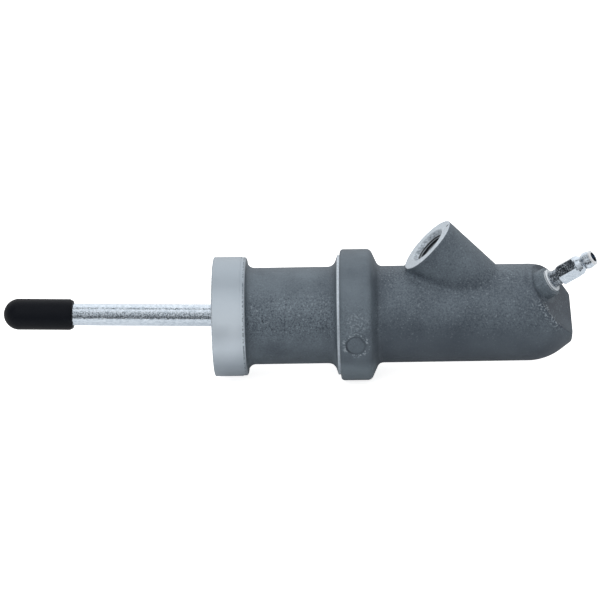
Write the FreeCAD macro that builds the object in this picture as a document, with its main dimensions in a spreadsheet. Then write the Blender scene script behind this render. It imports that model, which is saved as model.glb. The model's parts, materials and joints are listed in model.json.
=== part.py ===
import FreeCAD, Part
import math
import os
import Sketcher

# Clutch slave cylinder. Millimetres. +X runs along the cylinder axis towards the closed end,
# +Z points up through the port boss, the origin is on the axis at the collar's front shoulder.

SIZES = (
    # Flange and front barrel
    ("flange_front", -45.25, "front face of the flange"),
    ("flange_radius", 21.5, "machined land of the flange"),
    ("flange_land_end", -35.2, "rear end of the machined land"),
    ("flange_rim_radius", 21.3, "as-cast rim behind the land"),
    ("flange_rear", -33.5, "rear face of the flange at its rim"),
    ("flange_rear_lean", 0.5, "draft of the rear face"),
    ("flange_edge_round", 0.4, "front edge round"),
    ("flange_rim_round", 0.7, "rear rim round"),
    ("flange_fillet", 2.6, "fillet to the barrel"),
    ("barrel_radius", 17.4, "as-cast barrel"),
    # Collar
    ("land_radius", 21.5, "machined land in front of the collar"),
    ("land_length", 0.9, "length of that land"),
    ("collar_front_lean", 1.4, "draft of the flank below the land"),
    ("collar_front_fillet", 3.0, "fillet in front of the collar"),
    ("collar_radius", 23.6, "collar crest"),
    ("collar_width", 10.9, "shoulder to rear corner of the crest"),
    ("collar_flank", 2.85, "length of the drafted rear flank"),
    ("collar_front_round", 1.25, "round of the crest beside the shoulder"),
    ("collar_rear_round", 2.2, "round of the crest above the flank"),
    ("collar_rear_fillet", 2.2, "fillet behind the collar"),
    ("mark_place", 5.65, "centre of the round cast mark along the axis"),
    ("mark_azimuth", 95.6, "its angle from the port boss"),
    ("mark_radius", 3.7, "outer radius of its ring groove"),
    ("mark_groove_width", 0.7, "width of the ring groove"),
    ("mark_depth", 0.35, "depth of the ring groove at its middle"),
    # Closed end
    ("cone_length", 9.3, "from where barrel and end cone would meet to the end face"),
    ("cone_blend", 20.0, "blend radius between them"),
    ("end_face", 82.7, "closed end face"),
    ("end_face_radius", 10.6, "corner radius position of the end face"),
    ("end_round", 1.8, "round of the end face corner"),
    # Port boss
    ("boss_setback", 10.5, "barrel left between the collar's flank and the boss"),
    ("boss_tilt", 135.0, "angle of the boss axis from +X"),
    ("boss_radius", 11.4, "boss outer radius"),
    ("boss_root", 5.0, "hidden start of the boss along its axis"),
    ("boss_reach", 12.7, "boss axis from the barrel's surface to the machined face"),
    ("boss_edge_round", 0.35, "edge of the machined face"),
    ("boss_fillet", 1.8, "fillet between boss and barrel"),
    ("port_sink_radius", 7.5, "countersink at the face"),
    ("port_radius", 5.45, "wall of the tapped port hole"),
    ("port_depth", 13.0, "depth of the tapped hole"),
    ("port_drill_radius", 2.0, "feed drilling into the bore"),
    ("port_drill_end", 13.0, "inner end of the feed drilling"),
    # Bleed pad and hole
    ("bleed_setback", 27.2, "from the end face back to where the bleed axis crosses the cylinder axis"),
    ("bleed_tilt", 36.5, "angle of the bleed axis from +X"),
    ("bleed_azimuth", 19.0, "angle of the bleed plane from the port boss"),
    ("facet_setback", 0.8, "from the end face back to where the oblique facet crosses the axis"),
    ("facet_tilt", 38.4, "angle of the facet normal from +X"),
    ("facet_cut", 20.0, "material taken off beyond the facet"),
    ("pad_radius", 5.3, "cast pad under the machined ring"),
    ("pad_top", 24.2, "top of the cast pad along the bleed axis"),
    ("pad_draft", 0.5, "radius gained down to the facet"),
    ("pad_root", 16.0, "hidden start of the pad"),
    ("ring_radius", 4.2, "machined ring on the pad"),
    ("ring_top", 25.2, "top of the machined ring"),
    ("ring_edge_round", 0.3, "edge of the ring"),
    ("bleed_hole_radius", 3.0, "tapped hole wall"),
    ("bleed_seat_top", 12.75, "wide end of the conical seat"),
    ("bleed_seat_low", 11.0, "narrow end of the conical seat"),
    ("bleed_drill_radius", 1.25, "drilling into the bore"),
    ("bleed_drill_end", -5.0, "inner end of the drilling"),
    # Bore
    ("mouth_radius", 15.5, "recess in the flange"),
    ("mouth_end", -40.75, "bottom of the recess"),
    ("bore_radius", 11.1, "cylinder bore"),
    ("bore_end", 52.0, "bottom of the bore"),
    ("bore_end_round", 1.0, "round at the bottom of the bore"),
    ("ring_groove_front", -32.25, "front of the snap ring groove"),
    ("ring_groove_width", 1.35, "width of the snap ring groove"),
    ("ring_groove_radius", 12.3, "bottom of the snap ring groove"),
    # Fits
    ("run_gap", 0.04, "radial running clearance"),
    ("face_gap", 0.05, "axial clearance between stacked pieces"),
    ("ball_gap", 0.05, "clearance of the ball in its socket"),
    ("cone_gap", 0.1, "clearance of the screw's cone on its seat"),
    ("boot_gap", 0.05, "clearance of the boot lip on the rod"),
    ("press_gap", 0.0, "radial clearance of pressed pieces"),
    # Piston
    ("piston_front", -29.8, "front face of the piston"),
    ("piston_front_land", 4.0, "length of the front land"),
    ("piston_chamfer", 0.6, "front edge round"),
    ("seal_groove_width", 3.4, "front seal groove"),
    ("seal_groove_radius", 8.6, "bottom of the seal groove"),
    ("second_land", 2.0, "land behind the groove"),
    ("waist_radius", 10.2, "relieved waist"),
    ("waist_length", 12.4, "length of the waist"),
    ("rear_land", 4.5, "rear land"),
    ("spigot_radius", 5.0, "rear spigot"),
    ("spigot_length", 8.3, "length of the spigot"),
    ("socket_place", -22.0, "centre of the ball socket"),
    ("piston_mouth_radius", 6.0, "mouth in front of the socket"),
    ("clip_groove_front", -25.65, "front of the clip groove"),
    ("clip_groove_radius", 6.7, "bottom of the clip groove"),
    # Stop pieces
    ("washer_thickness", 1.0, "stop washer"),
    ("washer_hole_radius", 6.6, "hole of the stop washer"),
    ("snap_thickness", 1.2, "snap ring"),
    ("snap_outer_radius", 12.2, "snap ring in its groove"),
    ("snap_inner_radius", 9.6, "inner edge of the snap ring"),
    ("snap_open_angle", 36.0, "gap of the snap ring"),
    # Seals
    ("seal_end_gap", 0.2, "axial gap of the front seal in its groove"),
    ("seal_heel_radius", 10.7, "outer radius of the seal's heel"),
    ("cup_washer_thickness", 0.5, "backing washer"),
    ("cup_washer_radius", 10.7, "its outer radius"),
    ("cup_heel", 2.6, "heel of the primary cup"),
    ("cup_length", 7.1, "whole length of the primary cup"),
    ("cup_heel_radius", 10.75, "outer radius at the heel"),
    ("cup_lip_thickness", 0.95, "thickness of the lip's edge"),
    ("cup_floor_outer", 8.7, "outer radius of the cup's floor"),
    ("cup_floor_inner", 6.8, "inner radius of the cup's floor"),
    ("cup_hub_length", 4.5, "length of the cup's inner hub"),
    ("cup_hub_radius", 6.3, "outer radius at the hub's end"),
    # Spring and its seat
    ("seat_sheet", 0.8, "sheet of the spring seat"),
    ("seat_radius", 9.2, "flange of the spring seat"),
    ("seat_hub_radius", 6.3, "hub that centres the spring"),
    ("seat_height", 3.05, "height of the seat"),
    ("spring_radius", 7.6, "mean radius of the coil"),
    ("spring_wire", 0.75, "wire radius"),
    ("spring_turns", 8.0, "number of turns"),
    # Boot and its ring
    ("boot_front", -44.0, "front of the boot's bead"),
    ("boot_bead_length", 2.8, "length of the bead"),
    ("boot_bead_radius", 15.4, "outer radius of the bead"),
    ("boot_bead_inner", 12.4, "inner radius of the bead"),
    ("boot_web_front", -42.9, "front of the web behind the bead"),
    ("boot_wall", 0.9, "wall measured along the axis"),
    ("boot_pitch", 1.7, "axial step of each fold"),
    ("boot_crest", 9.9, "crest radius of the folds"),
    ("boot_valley", 5.8, "valley radius of the folds"),
    ("boot_fold_depth", 1.1, "depth of the inner corner of a fold"),
    ("boot_lip_core", 3.5, "inner radius before the rod hole is cut"),
    ("boot_lip_radius", 5.3, "outer radius of the lip"),
    ("boot_lip_end", -34.8, "rear end of the lip"),
    ("boot_ring_front", -44.95, "front of the retaining ring"),
    ("boot_ring_sheet", 0.8, "its sheet thickness"),
    ("boot_ring_inner", 12.9, "its inner radius"),
    ("boot_ring_bead", 0.5, "round of its front edge"),
    # Rod, clip and cap, measured along the rod from the ball's centre
    ("rod_tilt", 178.81, "angle of the resting rod from +X"),
    ("rod_azimuth", -22.0, "plane in which the rod leans"),
    ("rod_radius", 4.0, "rod"),
    ("rod_neck_radius", 3.2, "neck behind the ball"),
    ("rod_neck_end", 9.0, "end of the neck"),
    ("rod_neck_cone", 1.2, "cone from neck to rod"),
    ("ball_radius", 4.6, "ball nose"),
    ("rod_end", 96.8, "outer end of the rod"),
    ("rod_end_round", 2.5, "round of the outer end"),
    ("clip_thickness", 0.7, "rod clip"),
    ("clip_inner_radius", 3.75, "inner edge of the clip"),
    ("clip_outer_radius", 6.6, "outer edge of the clip"),
    ("clip_open_angle", 30.0, "gap of the clip"),
    ("cap_mouth", 74.4, "open end of the cap"),
    ("cap_mouth_radius", 5.1, "outer radius at the open end"),
    ("cap_taper", 1.2, "length of the tapered mouth"),
    ("cap_radius", 5.7, "outer radius of the cap"),
    ("cap_tip", 99.7, "outer end of the cap"),
    ("cap_hole_end", 97.3, "bottom of the cap's hole"),
    ("cap_fit", 0.05, "clearance of the cap on the rod"),
    # Bleed screw, measured along the bleed axis
    ("screw_tip", 11.6, "inner end of the screw"),
    ("screw_cone_end", 12.5, "wide end of its cone"),
    ("screw_relief", 13.2, "end of the relief behind the cone"),
    ("screw_relief_radius", 2.4, "relief radius"),
    ("screw_run_in", 0.35, "chamfer where the thread starts"),
    ("hex_start", 28.8, "inner face of the hexagon"),
    ("hex_length", 7.1, "length of the hexagon"),
    ("hex_flats", 7.0, "width across flats"),
    ("hex_turn", 29.0, "turn of the hexagon about its axis"),
    ("hex_face_radius", 3.6, "turned round face at each end of the hexagon"),
    ("shoulder_end", 36.5, "end of the round shoulder past the hexagon"),
    ("nipple_neck", 38.0, "start of the neck"),
    ("nipple_neck_radius", 2.6, "neck radius"),
    ("nipple_neck_end", 38.5, "end of the neck"),
    ("barb_start", 39.5, "start of the barb's crest"),
    ("barb_length", 0.5, "length of the crest"),
    ("barb_radius", 3.1, "barb radius"),
    ("rim_radius", 2.75, "rim the barb tapers to"),
    ("rim_end_round", 0.35, "round of the rim"),
    ("screw_end", 42.5, "outer end of the screw"),
    ("outlet_radius", 1.75, "outlet hole"),
    ("outlet_depth", 6.0, "depth of the wide outlet"),
    ("channel_radius", 0.9, "channel down to the cross hole"),
    ("channel_end", 14.6, "inner end of the channel"),
    ("cross_hole_place", 15.8, "cross hole along the screw"),
    ("cross_hole_radius", 0.8, "cross hole radius"),
    ("full_depth", 12.0, "through cut, longer than any screw radius"),
)

X_AXIS = FreeCAD.Vector(1, 0, 0)
Z_AXIS = FreeCAD.Vector(0, 0, 1)


def make_sheet(doc):
    sheet = doc.addObject("Spreadsheet::Sheet", "Sizes")
    for row, (name, value, note) in enumerate(SIZES, start=1):
        sheet.set(f"A{row}", name)
        sheet.set(f"B{row}", str(value))
        sheet.set(f"C{row}", note)
        sheet.setAlias(f"B{row}", name)
    doc.recompute()
    return sheet


class Builder:
    """Adds bodies whose sketches are bound to the sheet."""

    def __init__(self):
        self.doc = FreeCAD.newDocument("slave_cylinder")
        self.sheet = make_sheet(self.doc)

    def words(self, text):
        # A size name in a formula is looked up in the sheet.
        out = []
        word = ""
        for char in text + " ":
            if char.isalnum() or char == "_":
                word += char
                continue
            out.append("Sizes." + word if word[:1].isalpha() and word not in FUNCTIONS else word)
            out.append(char)
            word = ""
        return "".join(out).strip()

    def value(self, text):
        return float(self.sheet.evalExpression(self.words(text)))

    def body(self, label):
        body = self.doc.addObject("PartDesign::Body", label)
        body.Label = label
        return body

    def place(self, body, base, tilt, azimuth):
        """Lays the body's own X axis along a line that starts on the cylinder axis."""
        turn = (
            f"create(<<rotation>>; create(<<vector>>; 1; 0; 0); {self.words(azimuth)})"
            f" * create(<<rotation>>; create(<<vector>>; 0; -1; 0); {self.words(tilt)})"
        )
        start = f"create(<<vector>>; {self.words(base)}; 0; 0)"
        body.setExpression("Placement", f"create(<<placement>>; {start}; {turn})")

    def sketch(self, body, name, base="0", tilt="0", azimuth="0"):
        """A sketch in a plane through the X axis, its own X along a tilted line."""
        sketch = body.newObject("Sketcher::SketchObject", name)
        plane = [f for f in body.Origin.OriginFeatures if f.Role == "XZ_Plane"][0]
        sketch.AttachmentSupport = (plane, [""])
        sketch.MapMode = "FlatFace"
        turn = (
            f"create(<<rotation>>; create(<<vector>>; 1; 0; 0); {self.words(azimuth)})"
            f" * create(<<rotation>>; create(<<vector>>; 0; 0; 1); {self.words(tilt)})"
        )
        start = f"create(<<vector>>; {self.words(base)}; 0; 0)"
        sketch.setExpression("AttachmentOffset", f"create(<<placement>>; {start}; {turn})")
        return sketch

    def fix(self, sketch, kind, *ids, text):
        """Adds a constraint driven by a formula, or puts the point on an axis if it is 0."""
        if text == "0":
            axis = -2 if kind == "DistanceX" else -1
            sketch.addConstraint(Sketcher.Constraint("PointOnObject", ids[-2], ids[-1], axis))
            return
        index = sketch.addConstraint(Sketcher.Constraint(kind, *ids, self.value(text)))
        sketch.setExpression(f"Constraints[{index}]", self.words(text))

    def outline(self, sketch, corners):
        """Closed outline through the corners (x, radius, corner round or None)."""
        points = [FreeCAD.Vector(self.value(c[0]), self.value(c[1]), 0) for c in corners]
        rounds = [self.value(c[2]) if len(c) > 2 else 0.0 for c in corners]
        count = len(corners)
        arcs = {}
        starts = list(points)
        ends = list(points)
        for i in range(count):
            if rounds[i] == 0.0:
                continue
            before = (points[i - 1] - points[i]).normalize()
            after = (points[(i + 1) % count] - points[i]).normalize()
            half = before.getAngle(after) / 2
            reach = rounds[i] / math.tan(half)
            ends[i] = points[i] + before * reach
            starts[i] = points[i] + after * reach
            middle = (before + after).normalize()
            arcs[i] = points[i] + middle * (rounds[i] / math.sin(half))
        lines = []
        for i in range(count):
            line = Part.LineSegment(starts[i], ends[(i + 1) % count])
            lines.append(sketch.addGeometry(line, False))
        for i in range(count):
            if i in arcs:
                self.round_corner(sketch, corners[i], points[i], arcs[i], starts[i], ends[i],
                                  lines[i - 1], lines[i])
            else:
                sketch.addConstraint(
                    Sketcher.Constraint("Coincident", lines[i - 1], 2, lines[i], 1))
                self.fix(sketch, "DistanceX", -1, 1, lines[i], 1, text=corners[i][0])
                self.fix(sketch, "DistanceY", -1, 1, lines[i], 1, text=corners[i][1])

    def round_corner(self, sketch, corner, point, centre, start, end, line_in, line_out):
        radius = self.value(corner[2])
        circle = Part.Circle(centre, Z_AXIS, radius)
        first = math.atan2(end.y - centre.y, end.x - centre.x)
        last = math.atan2(start.y - centre.y, start.x - centre.x)
        turn = (last - first) % (2 * math.pi)
        forward = turn < math.pi
        if not forward:
            first, last = last, first
        if last < first:
            last += 2 * math.pi
        arc = sketch.addGeometry(Part.ArcOfCircle(circle, first, last), False)
        mark = sketch.addGeometry(Part.Point(point), True)
        tail, head = (1, 2) if forward else (2, 1)
        sketch.addConstraint(Sketcher.Constraint("Tangent", line_in, 2, arc, tail))
        sketch.addConstraint(Sketcher.Constraint("Tangent", arc, head, line_out, 1))
        sketch.addConstraint(Sketcher.Constraint("PointOnObject", mark, 1, line_in))
        sketch.addConstraint(Sketcher.Constraint("PointOnObject", mark, 1, line_out))
        self.fix(sketch, "DistanceX", -1, 1, mark, 1, text=corner[0])
        self.fix(sketch, "DistanceY", -1, 1, mark, 1, text=corner[1])
        self.fix(sketch, "Radius", arc, text=corner[2])

    def spin(self, body, sketch, name, cut):
        kind = "PartDesign::Groove" if cut else "PartDesign::Revolution"
        feature = body.newObject(kind, name)
        feature.Profile = sketch
        feature.ReferenceAxis = (sketch, ["H_Axis"])
        feature.Angle = 360
        self.doc.recompute()
        return feature

    def turned(self, body, name, corners, cut=False, **plane):
        """A turned form, or a turned cut, about the sketch's own X axis."""
        sketch = self.sketch(body, name + "_outline", **plane)
        self.doc.recompute()
        self.outline(sketch, corners)
        self.doc.recompute()
        return self.spin(body, sketch, name, cut)

    def ball(self, body, name, centre, radius, cut=False):
        sketch = self.sketch(body, name + "_outline")
        self.doc.recompute()
        place = self.value(centre)
        size = self.value(radius)
        middle = FreeCAD.Vector(place, 0, 0)
        arc = Part.ArcOfCircle(Part.Circle(middle, Z_AXIS, size), 0, math.pi)
        chord = Part.LineSegment(middle - X_AXIS * size, middle + X_AXIS * size)
        sketch.addGeometry(arc, False)
        sketch.addGeometry(chord, False)
        for ids in (("Coincident", 0, 2, 1, 1), ("Coincident", 0, 1, 1, 2),
                    ("PointOnObject", 0, 1, -1), ("PointOnObject", 0, 2, -1),
                    ("PointOnObject", 0, 3, -1)):
            sketch.addConstraint(Sketcher.Constraint(*ids))
        self.fix(sketch, "DistanceX", -1, 1, 0, 3, text=centre)
        self.fix(sketch, "Radius", 0, text=radius)
        self.doc.recompute()
        return self.spin(body, sketch, name, cut)

    def open_ring(self, body, name, corners, gap):
        """A ring turned through less than a full circle."""
        feature = self.turned(body, name, corners)
        feature.setExpression("Angle", f"360 - {self.words(gap)}")
        self.doc.recompute()
        return feature


FUNCTIONS = ("sqrt", "sin", "cos", "tan")


def edges_between(shape, test_one, test_two):
    """Names of the edges that lie between two kinds of face."""
    found = []
    for index, edge in enumerate(shape.Edges, start=1):
        faces = shape.ancestorsOfType(edge, Part.Face)
        if len(faces) != 2:
            continue
        one, two = faces
        if (test_one(one) and test_two(two)) or (test_one(two) and test_two(one)):
            found.append(f"Edge{index}")
    return found


def is_cylinder(radius):
    def test(face):
        surface = face.Surface
        return isinstance(surface, Part.Cylinder) and abs(surface.Radius - radius) < 1e-4
    return test


# The boss stands clear of the collar by its setback, and its face clears the barrel by its reach.
BOSS_BASE = (
    "(collar_width + collar_flank + boss_setback"
    " + (boss_radius - barrel_radius * cos(boss_tilt)) / sin(boss_tilt))"
)
BOSS_FACE = "barrel_radius / sin(boss_tilt) + boss_reach"
BLEED_BASE = "(end_face - bleed_setback)"


def cylinder_casting(b):
    """Flange, barrel, collar, port boss and bleed pad in one sand casting, then machined."""
    body = b.body("cylinder_casting")
    b.turned(body, "barrel", (
        ("flange_front", "0"),
        ("flange_front", "flange_radius", "flange_edge_round"),
        ("flange_land_end", "flange_radius"),
        ("flange_land_end", "flange_rim_radius"),
        ("flange_rear", "flange_rim_radius", "flange_rim_round"),
        ("flange_rear + flange_rear_lean", "barrel_radius", "flange_fillet"),
        ("0 - land_length - collar_front_lean", "barrel_radius", "collar_front_fillet"),
        ("0 - land_length", "land_radius"),
        ("0", "land_radius"),
        ("0", "collar_radius", "collar_front_round"),
        ("collar_width", "collar_radius", "collar_rear_round"),
        ("collar_width + collar_flank", "barrel_radius", "collar_rear_fillet"),
        ("end_face - cone_length", "barrel_radius", "cone_blend"),
        ("end_face", "end_face_radius", "end_round"),
        ("end_face", "0"),
    ))
    cut_facet(b, body)
    bleed_plane = {"base": BLEED_BASE, "tilt": "bleed_tilt", "azimuth": "bleed_azimuth"}
    b.turned(body, "pad", (
        ("pad_root", "0"),
        ("pad_root", "pad_radius + pad_draft"),
        ("pad_top", "pad_radius", "ring_edge_round"),
        ("pad_top", "0"),
    ), **bleed_plane)
    b.turned(body, "ring", (
        ("pad_root", "0"),
        ("pad_root", "ring_radius"),
        ("ring_top", "ring_radius", "ring_edge_round"),
        ("ring_top", "0"),
    ), **bleed_plane)
    boss_plane = {"base": BOSS_BASE, "tilt": "boss_tilt"}
    b.turned(body, "boss", (
        ("boss_root", "0"),
        ("boss_root", "boss_radius"),
        (BOSS_FACE, "boss_radius", "boss_edge_round"),
        (BOSS_FACE, "0"),
    ), **boss_plane)
    round_boss_root(b, body)
    cut_port(b, body, boss_plane)
    cut_bleed_hole(b, body, bleed_plane)
    cut_bore(b, body)
    cut_mark(b, body)
    return body


def cut_facet(b, body):
    sketch = b.sketch(body, "facet_outline", base="end_face - facet_setback", tilt="facet_tilt",
                      azimuth="bleed_azimuth")
    b.doc.recompute()
    b.outline(sketch, (
        ("0", "0 - 2 * barrel_radius"),
        ("facet_cut", "0 - 2 * barrel_radius"),
        ("facet_cut", "2 * barrel_radius"),
        ("0", "2 * barrel_radius"),
    ))
    pocket = body.newObject("PartDesign::Pocket", "facet")
    pocket.Profile = sketch
    pocket.SideType = "Symmetric"
    pocket.setExpression("Length", b.words("4 * barrel_radius"))
    b.doc.recompute()


def round_boss_root(b, body):
    boss = body.Tip
    names = edges_between(boss.Shape, is_cylinder(b.value("boss_radius")),
                          is_cylinder(b.value("barrel_radius")))
    fillet = body.newObject("PartDesign::Fillet", "boss_root_round")
    fillet.Base = (boss, names)
    fillet.setExpression("Radius", b.words("boss_fillet"))
    b.doc.recompute()


def cut_port(b, body, plane):
    b.turned(body, "port", (
        (BOSS_FACE + " - port_depth", "0"),
        (BOSS_FACE + " - port_depth", "port_radius"),
        (BOSS_FACE + " - port_sink_radius + port_radius", "port_radius"),
        (BOSS_FACE, "port_sink_radius"),
        (BOSS_FACE, "0"),
    ), cut=True, **plane)
    b.turned(body, "port_drill", (
        ("port_drill_end", "0"),
        ("port_drill_end", "port_drill_radius"),
        (BOSS_FACE + " - port_depth + port_drill_radius", "port_drill_radius"),
        (BOSS_FACE + " - port_depth + port_drill_radius", "0"),
    ), cut=True, **plane)


def cut_bleed_hole(b, body, plane):
    b.turned(body, "bleed_hole", (
        ("bleed_drill_end", "0"),
        ("bleed_drill_end", "bleed_drill_radius"),
        ("bleed_seat_low", "bleed_drill_radius"),
        ("bleed_seat_top", "bleed_hole_radius"),
        ("ring_top + bleed_hole_radius", "bleed_hole_radius"),
        ("ring_top + bleed_hole_radius", "0"),
    ), cut=True, **plane)


def cut_bore(b, body):
    b.turned(body, "bore", (
        ("flange_front - face_gap", "0"),
        ("flange_front - face_gap", "mouth_radius"),
        ("mouth_end", "mouth_radius"),
        ("mouth_end", "bore_radius"),
        ("ring_groove_front", "bore_radius"),
        ("ring_groove_front", "ring_groove_radius"),
        ("ring_groove_front + ring_groove_width", "ring_groove_radius"),
        ("ring_groove_front + ring_groove_width", "bore_radius"),
        ("bore_end", "bore_radius", "bore_end_round"),
        ("bore_end", "0"),
    ), cut=True)


def cut_mark(b, body):
    """Round foundry mark on the collar's near side: a shallow ring groove."""
    b.turned(body, "cast_mark", (
        ("collar_radius - mark_depth", "mark_radius - mark_groove_width"),
        ("collar_radius - mark_depth", "mark_radius"),
        ("collar_radius + mark_depth", "mark_radius"),
        ("collar_radius + mark_depth", "mark_radius - mark_groove_width"),
    ), cut=True, base="mark_place", tilt="90", azimuth="mark_azimuth")


def piston(b):
    body = b.body("piston")
    groove = "piston_front + piston_front_land"
    waist = groove + " + seal_groove_width + second_land"
    rear = waist + " + waist_length"
    b.turned(body, "lands", (
        ("piston_front", "0"),
        ("piston_front", "bore_radius - run_gap", "piston_chamfer"),
        (groove, "bore_radius - run_gap"),
        (groove, "seal_groove_radius"),
        (groove + " + seal_groove_width", "seal_groove_radius"),
        (groove + " + seal_groove_width", "bore_radius - run_gap"),
        (waist, "bore_radius - run_gap"),
        (waist, "waist_radius"),
        (rear, "waist_radius"),
        (rear, "bore_radius - run_gap"),
        (rear + " + rear_land", "bore_radius - run_gap"),
        (rear + " + rear_land", "spigot_radius"),
        (rear + " + rear_land + spigot_length", "spigot_radius"),
        (rear + " + rear_land + spigot_length", "0"),
    ))
    b.turned(body, "rod_mouth", (
        ("piston_front - face_gap", "0"),
        ("piston_front - face_gap", "piston_mouth_radius"),
        ("clip_groove_front", "piston_mouth_radius"),
        ("clip_groove_front", "clip_groove_radius"),
        ("clip_groove_front + clip_thickness + 2 * face_gap", "clip_groove_radius"),
        ("clip_groove_front + clip_thickness + 2 * face_gap", "ball_radius + ball_gap"),
        ("socket_place", "ball_radius + ball_gap"),
        ("socket_place", "0"),
    ), cut=True)
    b.ball(body, "ball_socket", "socket_place", "ball_radius + ball_gap", cut=True)
    return body


PISTON_REAR = (
    "piston_front + piston_front_land + seal_groove_width + second_land"
    " + waist_length + rear_land"
)


def piston_ring_seal(b):
    body = b.body("piston_ring_seal")
    start = "piston_front + piston_front_land + seal_end_gap"
    end = "piston_front + piston_front_land + seal_groove_width - seal_end_gap"
    b.turned(body, "seal", (
        (start, "seal_groove_radius"),
        (start, "seal_heel_radius"),
        (end, "bore_radius - run_gap"),
        (end, "seal_groove_radius"),
    ))
    return body


def cup_washer(b):
    body = b.body("cup_washer")
    b.turned(body, "washer", (
        (PISTON_REAR, "spigot_radius"),
        (PISTON_REAR, "cup_washer_radius"),
        (PISTON_REAR + " + cup_washer_thickness", "cup_washer_radius"),
        (PISTON_REAR + " + cup_washer_thickness", "spigot_radius"),
    ))
    return body


def primary_cup(b):
    body = b.body("primary_cup")
    start = PISTON_REAR + " + cup_washer_thickness"
    b.turned(body, "cup", (
        (start, "spigot_radius"),
        (start, "cup_heel_radius"),
        (start + " + cup_length", "bore_radius - run_gap"),
        (start + " + cup_length", "bore_radius - run_gap - cup_lip_thickness"),
        (start + " + cup_heel", "cup_floor_outer", "run_gap * 10"),
        (start + " + cup_heel", "cup_floor_inner", "run_gap * 10"),
        (start + " + cup_hub_length", "cup_hub_radius"),
        (start + " + cup_hub_length", "spigot_radius"),
    ))
    return body


def spring_seat(b):
    """Pressed hat on the piston's spigot."""
    body = b.body("spring_seat")
    top = PISTON_REAR + " + spigot_length"
    low = top + " + seat_sheet - seat_height"
    b.turned(body, "hat", (
        (low, "seat_hub_radius - seat_sheet"),
        (low, "seat_radius"),
        (low + " + seat_sheet", "seat_radius"),
        (low + " + seat_sheet", "seat_hub_radius"),
        (top + " + seat_sheet", "seat_hub_radius", "seat_sheet * 0.9"),
        (top + " + seat_sheet", "0"),
        (top, "0"),
        (top, "seat_hub_radius - seat_sheet"),
    ))
    return body


def return_spring(b):
    """Open coil between the hat's flange and the bore's bottom, its wire drawn with twelve sides."""
    doc = b.doc
    start = PISTON_REAR + " + spigot_length + 2 * seat_sheet - seat_height + spring_wire"
    length = f"(bore_end - spring_wire - ({start}))"
    coil = doc.addObject("Part::Helix", "spring_line")
    coil.setExpression("Radius", b.words("spring_radius"))
    coil.setExpression("Height", b.words(length))
    coil.setExpression("Pitch", b.words(length + " / spring_turns"))
    wire = doc.addObject("Part::RegularPolygon", "spring_wire_section")
    wire.Polygon = 12
    wire.setExpression("Circumradius", b.words("spring_wire"))
    wire.Placement = FreeCAD.Placement(FreeCAD.Vector(0, 0, 0), FreeCAD.Rotation(X_AXIS, 90))
    wire.setExpression("Placement.Base.x", b.words("spring_radius"))
    spring = doc.addObject("Part::Sweep", "return_spring")
    spring.Sections = [wire]
    spring.Spine = (coil, ["Edge1"])
    spring.Solid = True
    spring.Frenet = True
    spring.Label = "return_spring"
    turn = "create(<<rotation>>; create(<<vector>>; 0; 1; 0); 90)"
    spot = f"create(<<vector>>; {b.words(start)}; 0; 0)"
    spring.setExpression("Placement", f"create(<<placement>>; {spot}; {turn})")
    doc.recompute()
    return spring


def stop_washer(b):
    body = b.body("stop_washer")
    rear = "piston_front - face_gap"
    b.turned(body, "washer", (
        (rear + " - washer_thickness", "washer_hole_radius"),
        (rear + " - washer_thickness", "bore_radius - run_gap"),
        (rear, "bore_radius - run_gap"),
        (rear, "washer_hole_radius"),
    ))
    return body


def snap_ring(b):
    body = b.body("snap_ring")
    b.open_ring(body, "ring", (
        ("ring_groove_front + face_gap", "snap_inner_radius"),
        ("ring_groove_front + face_gap", "snap_outer_radius"),
        ("ring_groove_front + face_gap + snap_thickness", "snap_outer_radius"),
        ("ring_groove_front + face_gap + snap_thickness", "snap_inner_radius"),
    ), "snap_open_angle")
    return body


def dust_boot(b):
    """Bead in the mouth recess, two folds, and a lip that fits the leaning rod."""
    body = b.body("dust_boot")
    back = "boot_front + boot_bead_length"
    fold = "boot_web_front"
    b.turned(body, "bellows", (
        ("boot_front", "boot_bead_radius"),
        ("boot_front", "boot_bead_inner"),
        (fold, "boot_bead_inner"),
        (fold, "boot_crest"),
        (fold + " + boot_pitch", "boot_valley"),
        (fold + " + boot_pitch + boot_wall", "boot_valley"),
        (fold + " + 2 * boot_pitch + boot_wall / 2", "boot_crest - boot_fold_depth"),
        (fold + " + 3 * boot_pitch", "boot_valley - boot_fold_depth"),
        (fold + " + 3 * boot_pitch", "boot_lip_core"),
        ("boot_lip_end", "boot_lip_core"),
        ("boot_lip_end", "boot_lip_radius"),
        (fold + " + 3 * boot_pitch + 1.4 * boot_wall", "boot_lip_radius"),
        (fold + " + 2 * boot_pitch + boot_wall", "boot_crest"),
        (fold + " + 2 * boot_pitch", "boot_crest"),
        (fold + " + boot_pitch + boot_wall / 2", "boot_valley + boot_fold_depth"),
        (fold + " + boot_wall", "boot_crest"),
        (fold + " + boot_wall", "boot_bead_inner"),
        (back, "boot_bead_inner"),
        (back, "boot_bead_radius"),
    ))
    b.turned(body, "rod_hole", (
        ("0", "0"),
        ("0", "rod_radius + boot_gap"),
        ("socket_place - boot_front", "rod_radius + boot_gap"),
        ("socket_place - boot_front", "0"),
    ), cut=True, base="socket_place", tilt="rod_tilt", azimuth="rod_azimuth")
    return body


def boot_ring(b):
    """Pressed angle ring: its skirt grips the recess wall, its lip covers the bead."""
    body = b.body("boot_ring")
    b.turned(body, "ring", (
        ("boot_ring_front", "boot_ring_inner"),
        ("boot_ring_front", "mouth_radius - press_gap", "boot_ring_bead"),
        ("boot_ring_front + boot_ring_sheet", "mouth_radius - press_gap"),
        ("boot_ring_front + boot_ring_sheet", "boot_ring_inner"),
    ))
    return body


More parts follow.
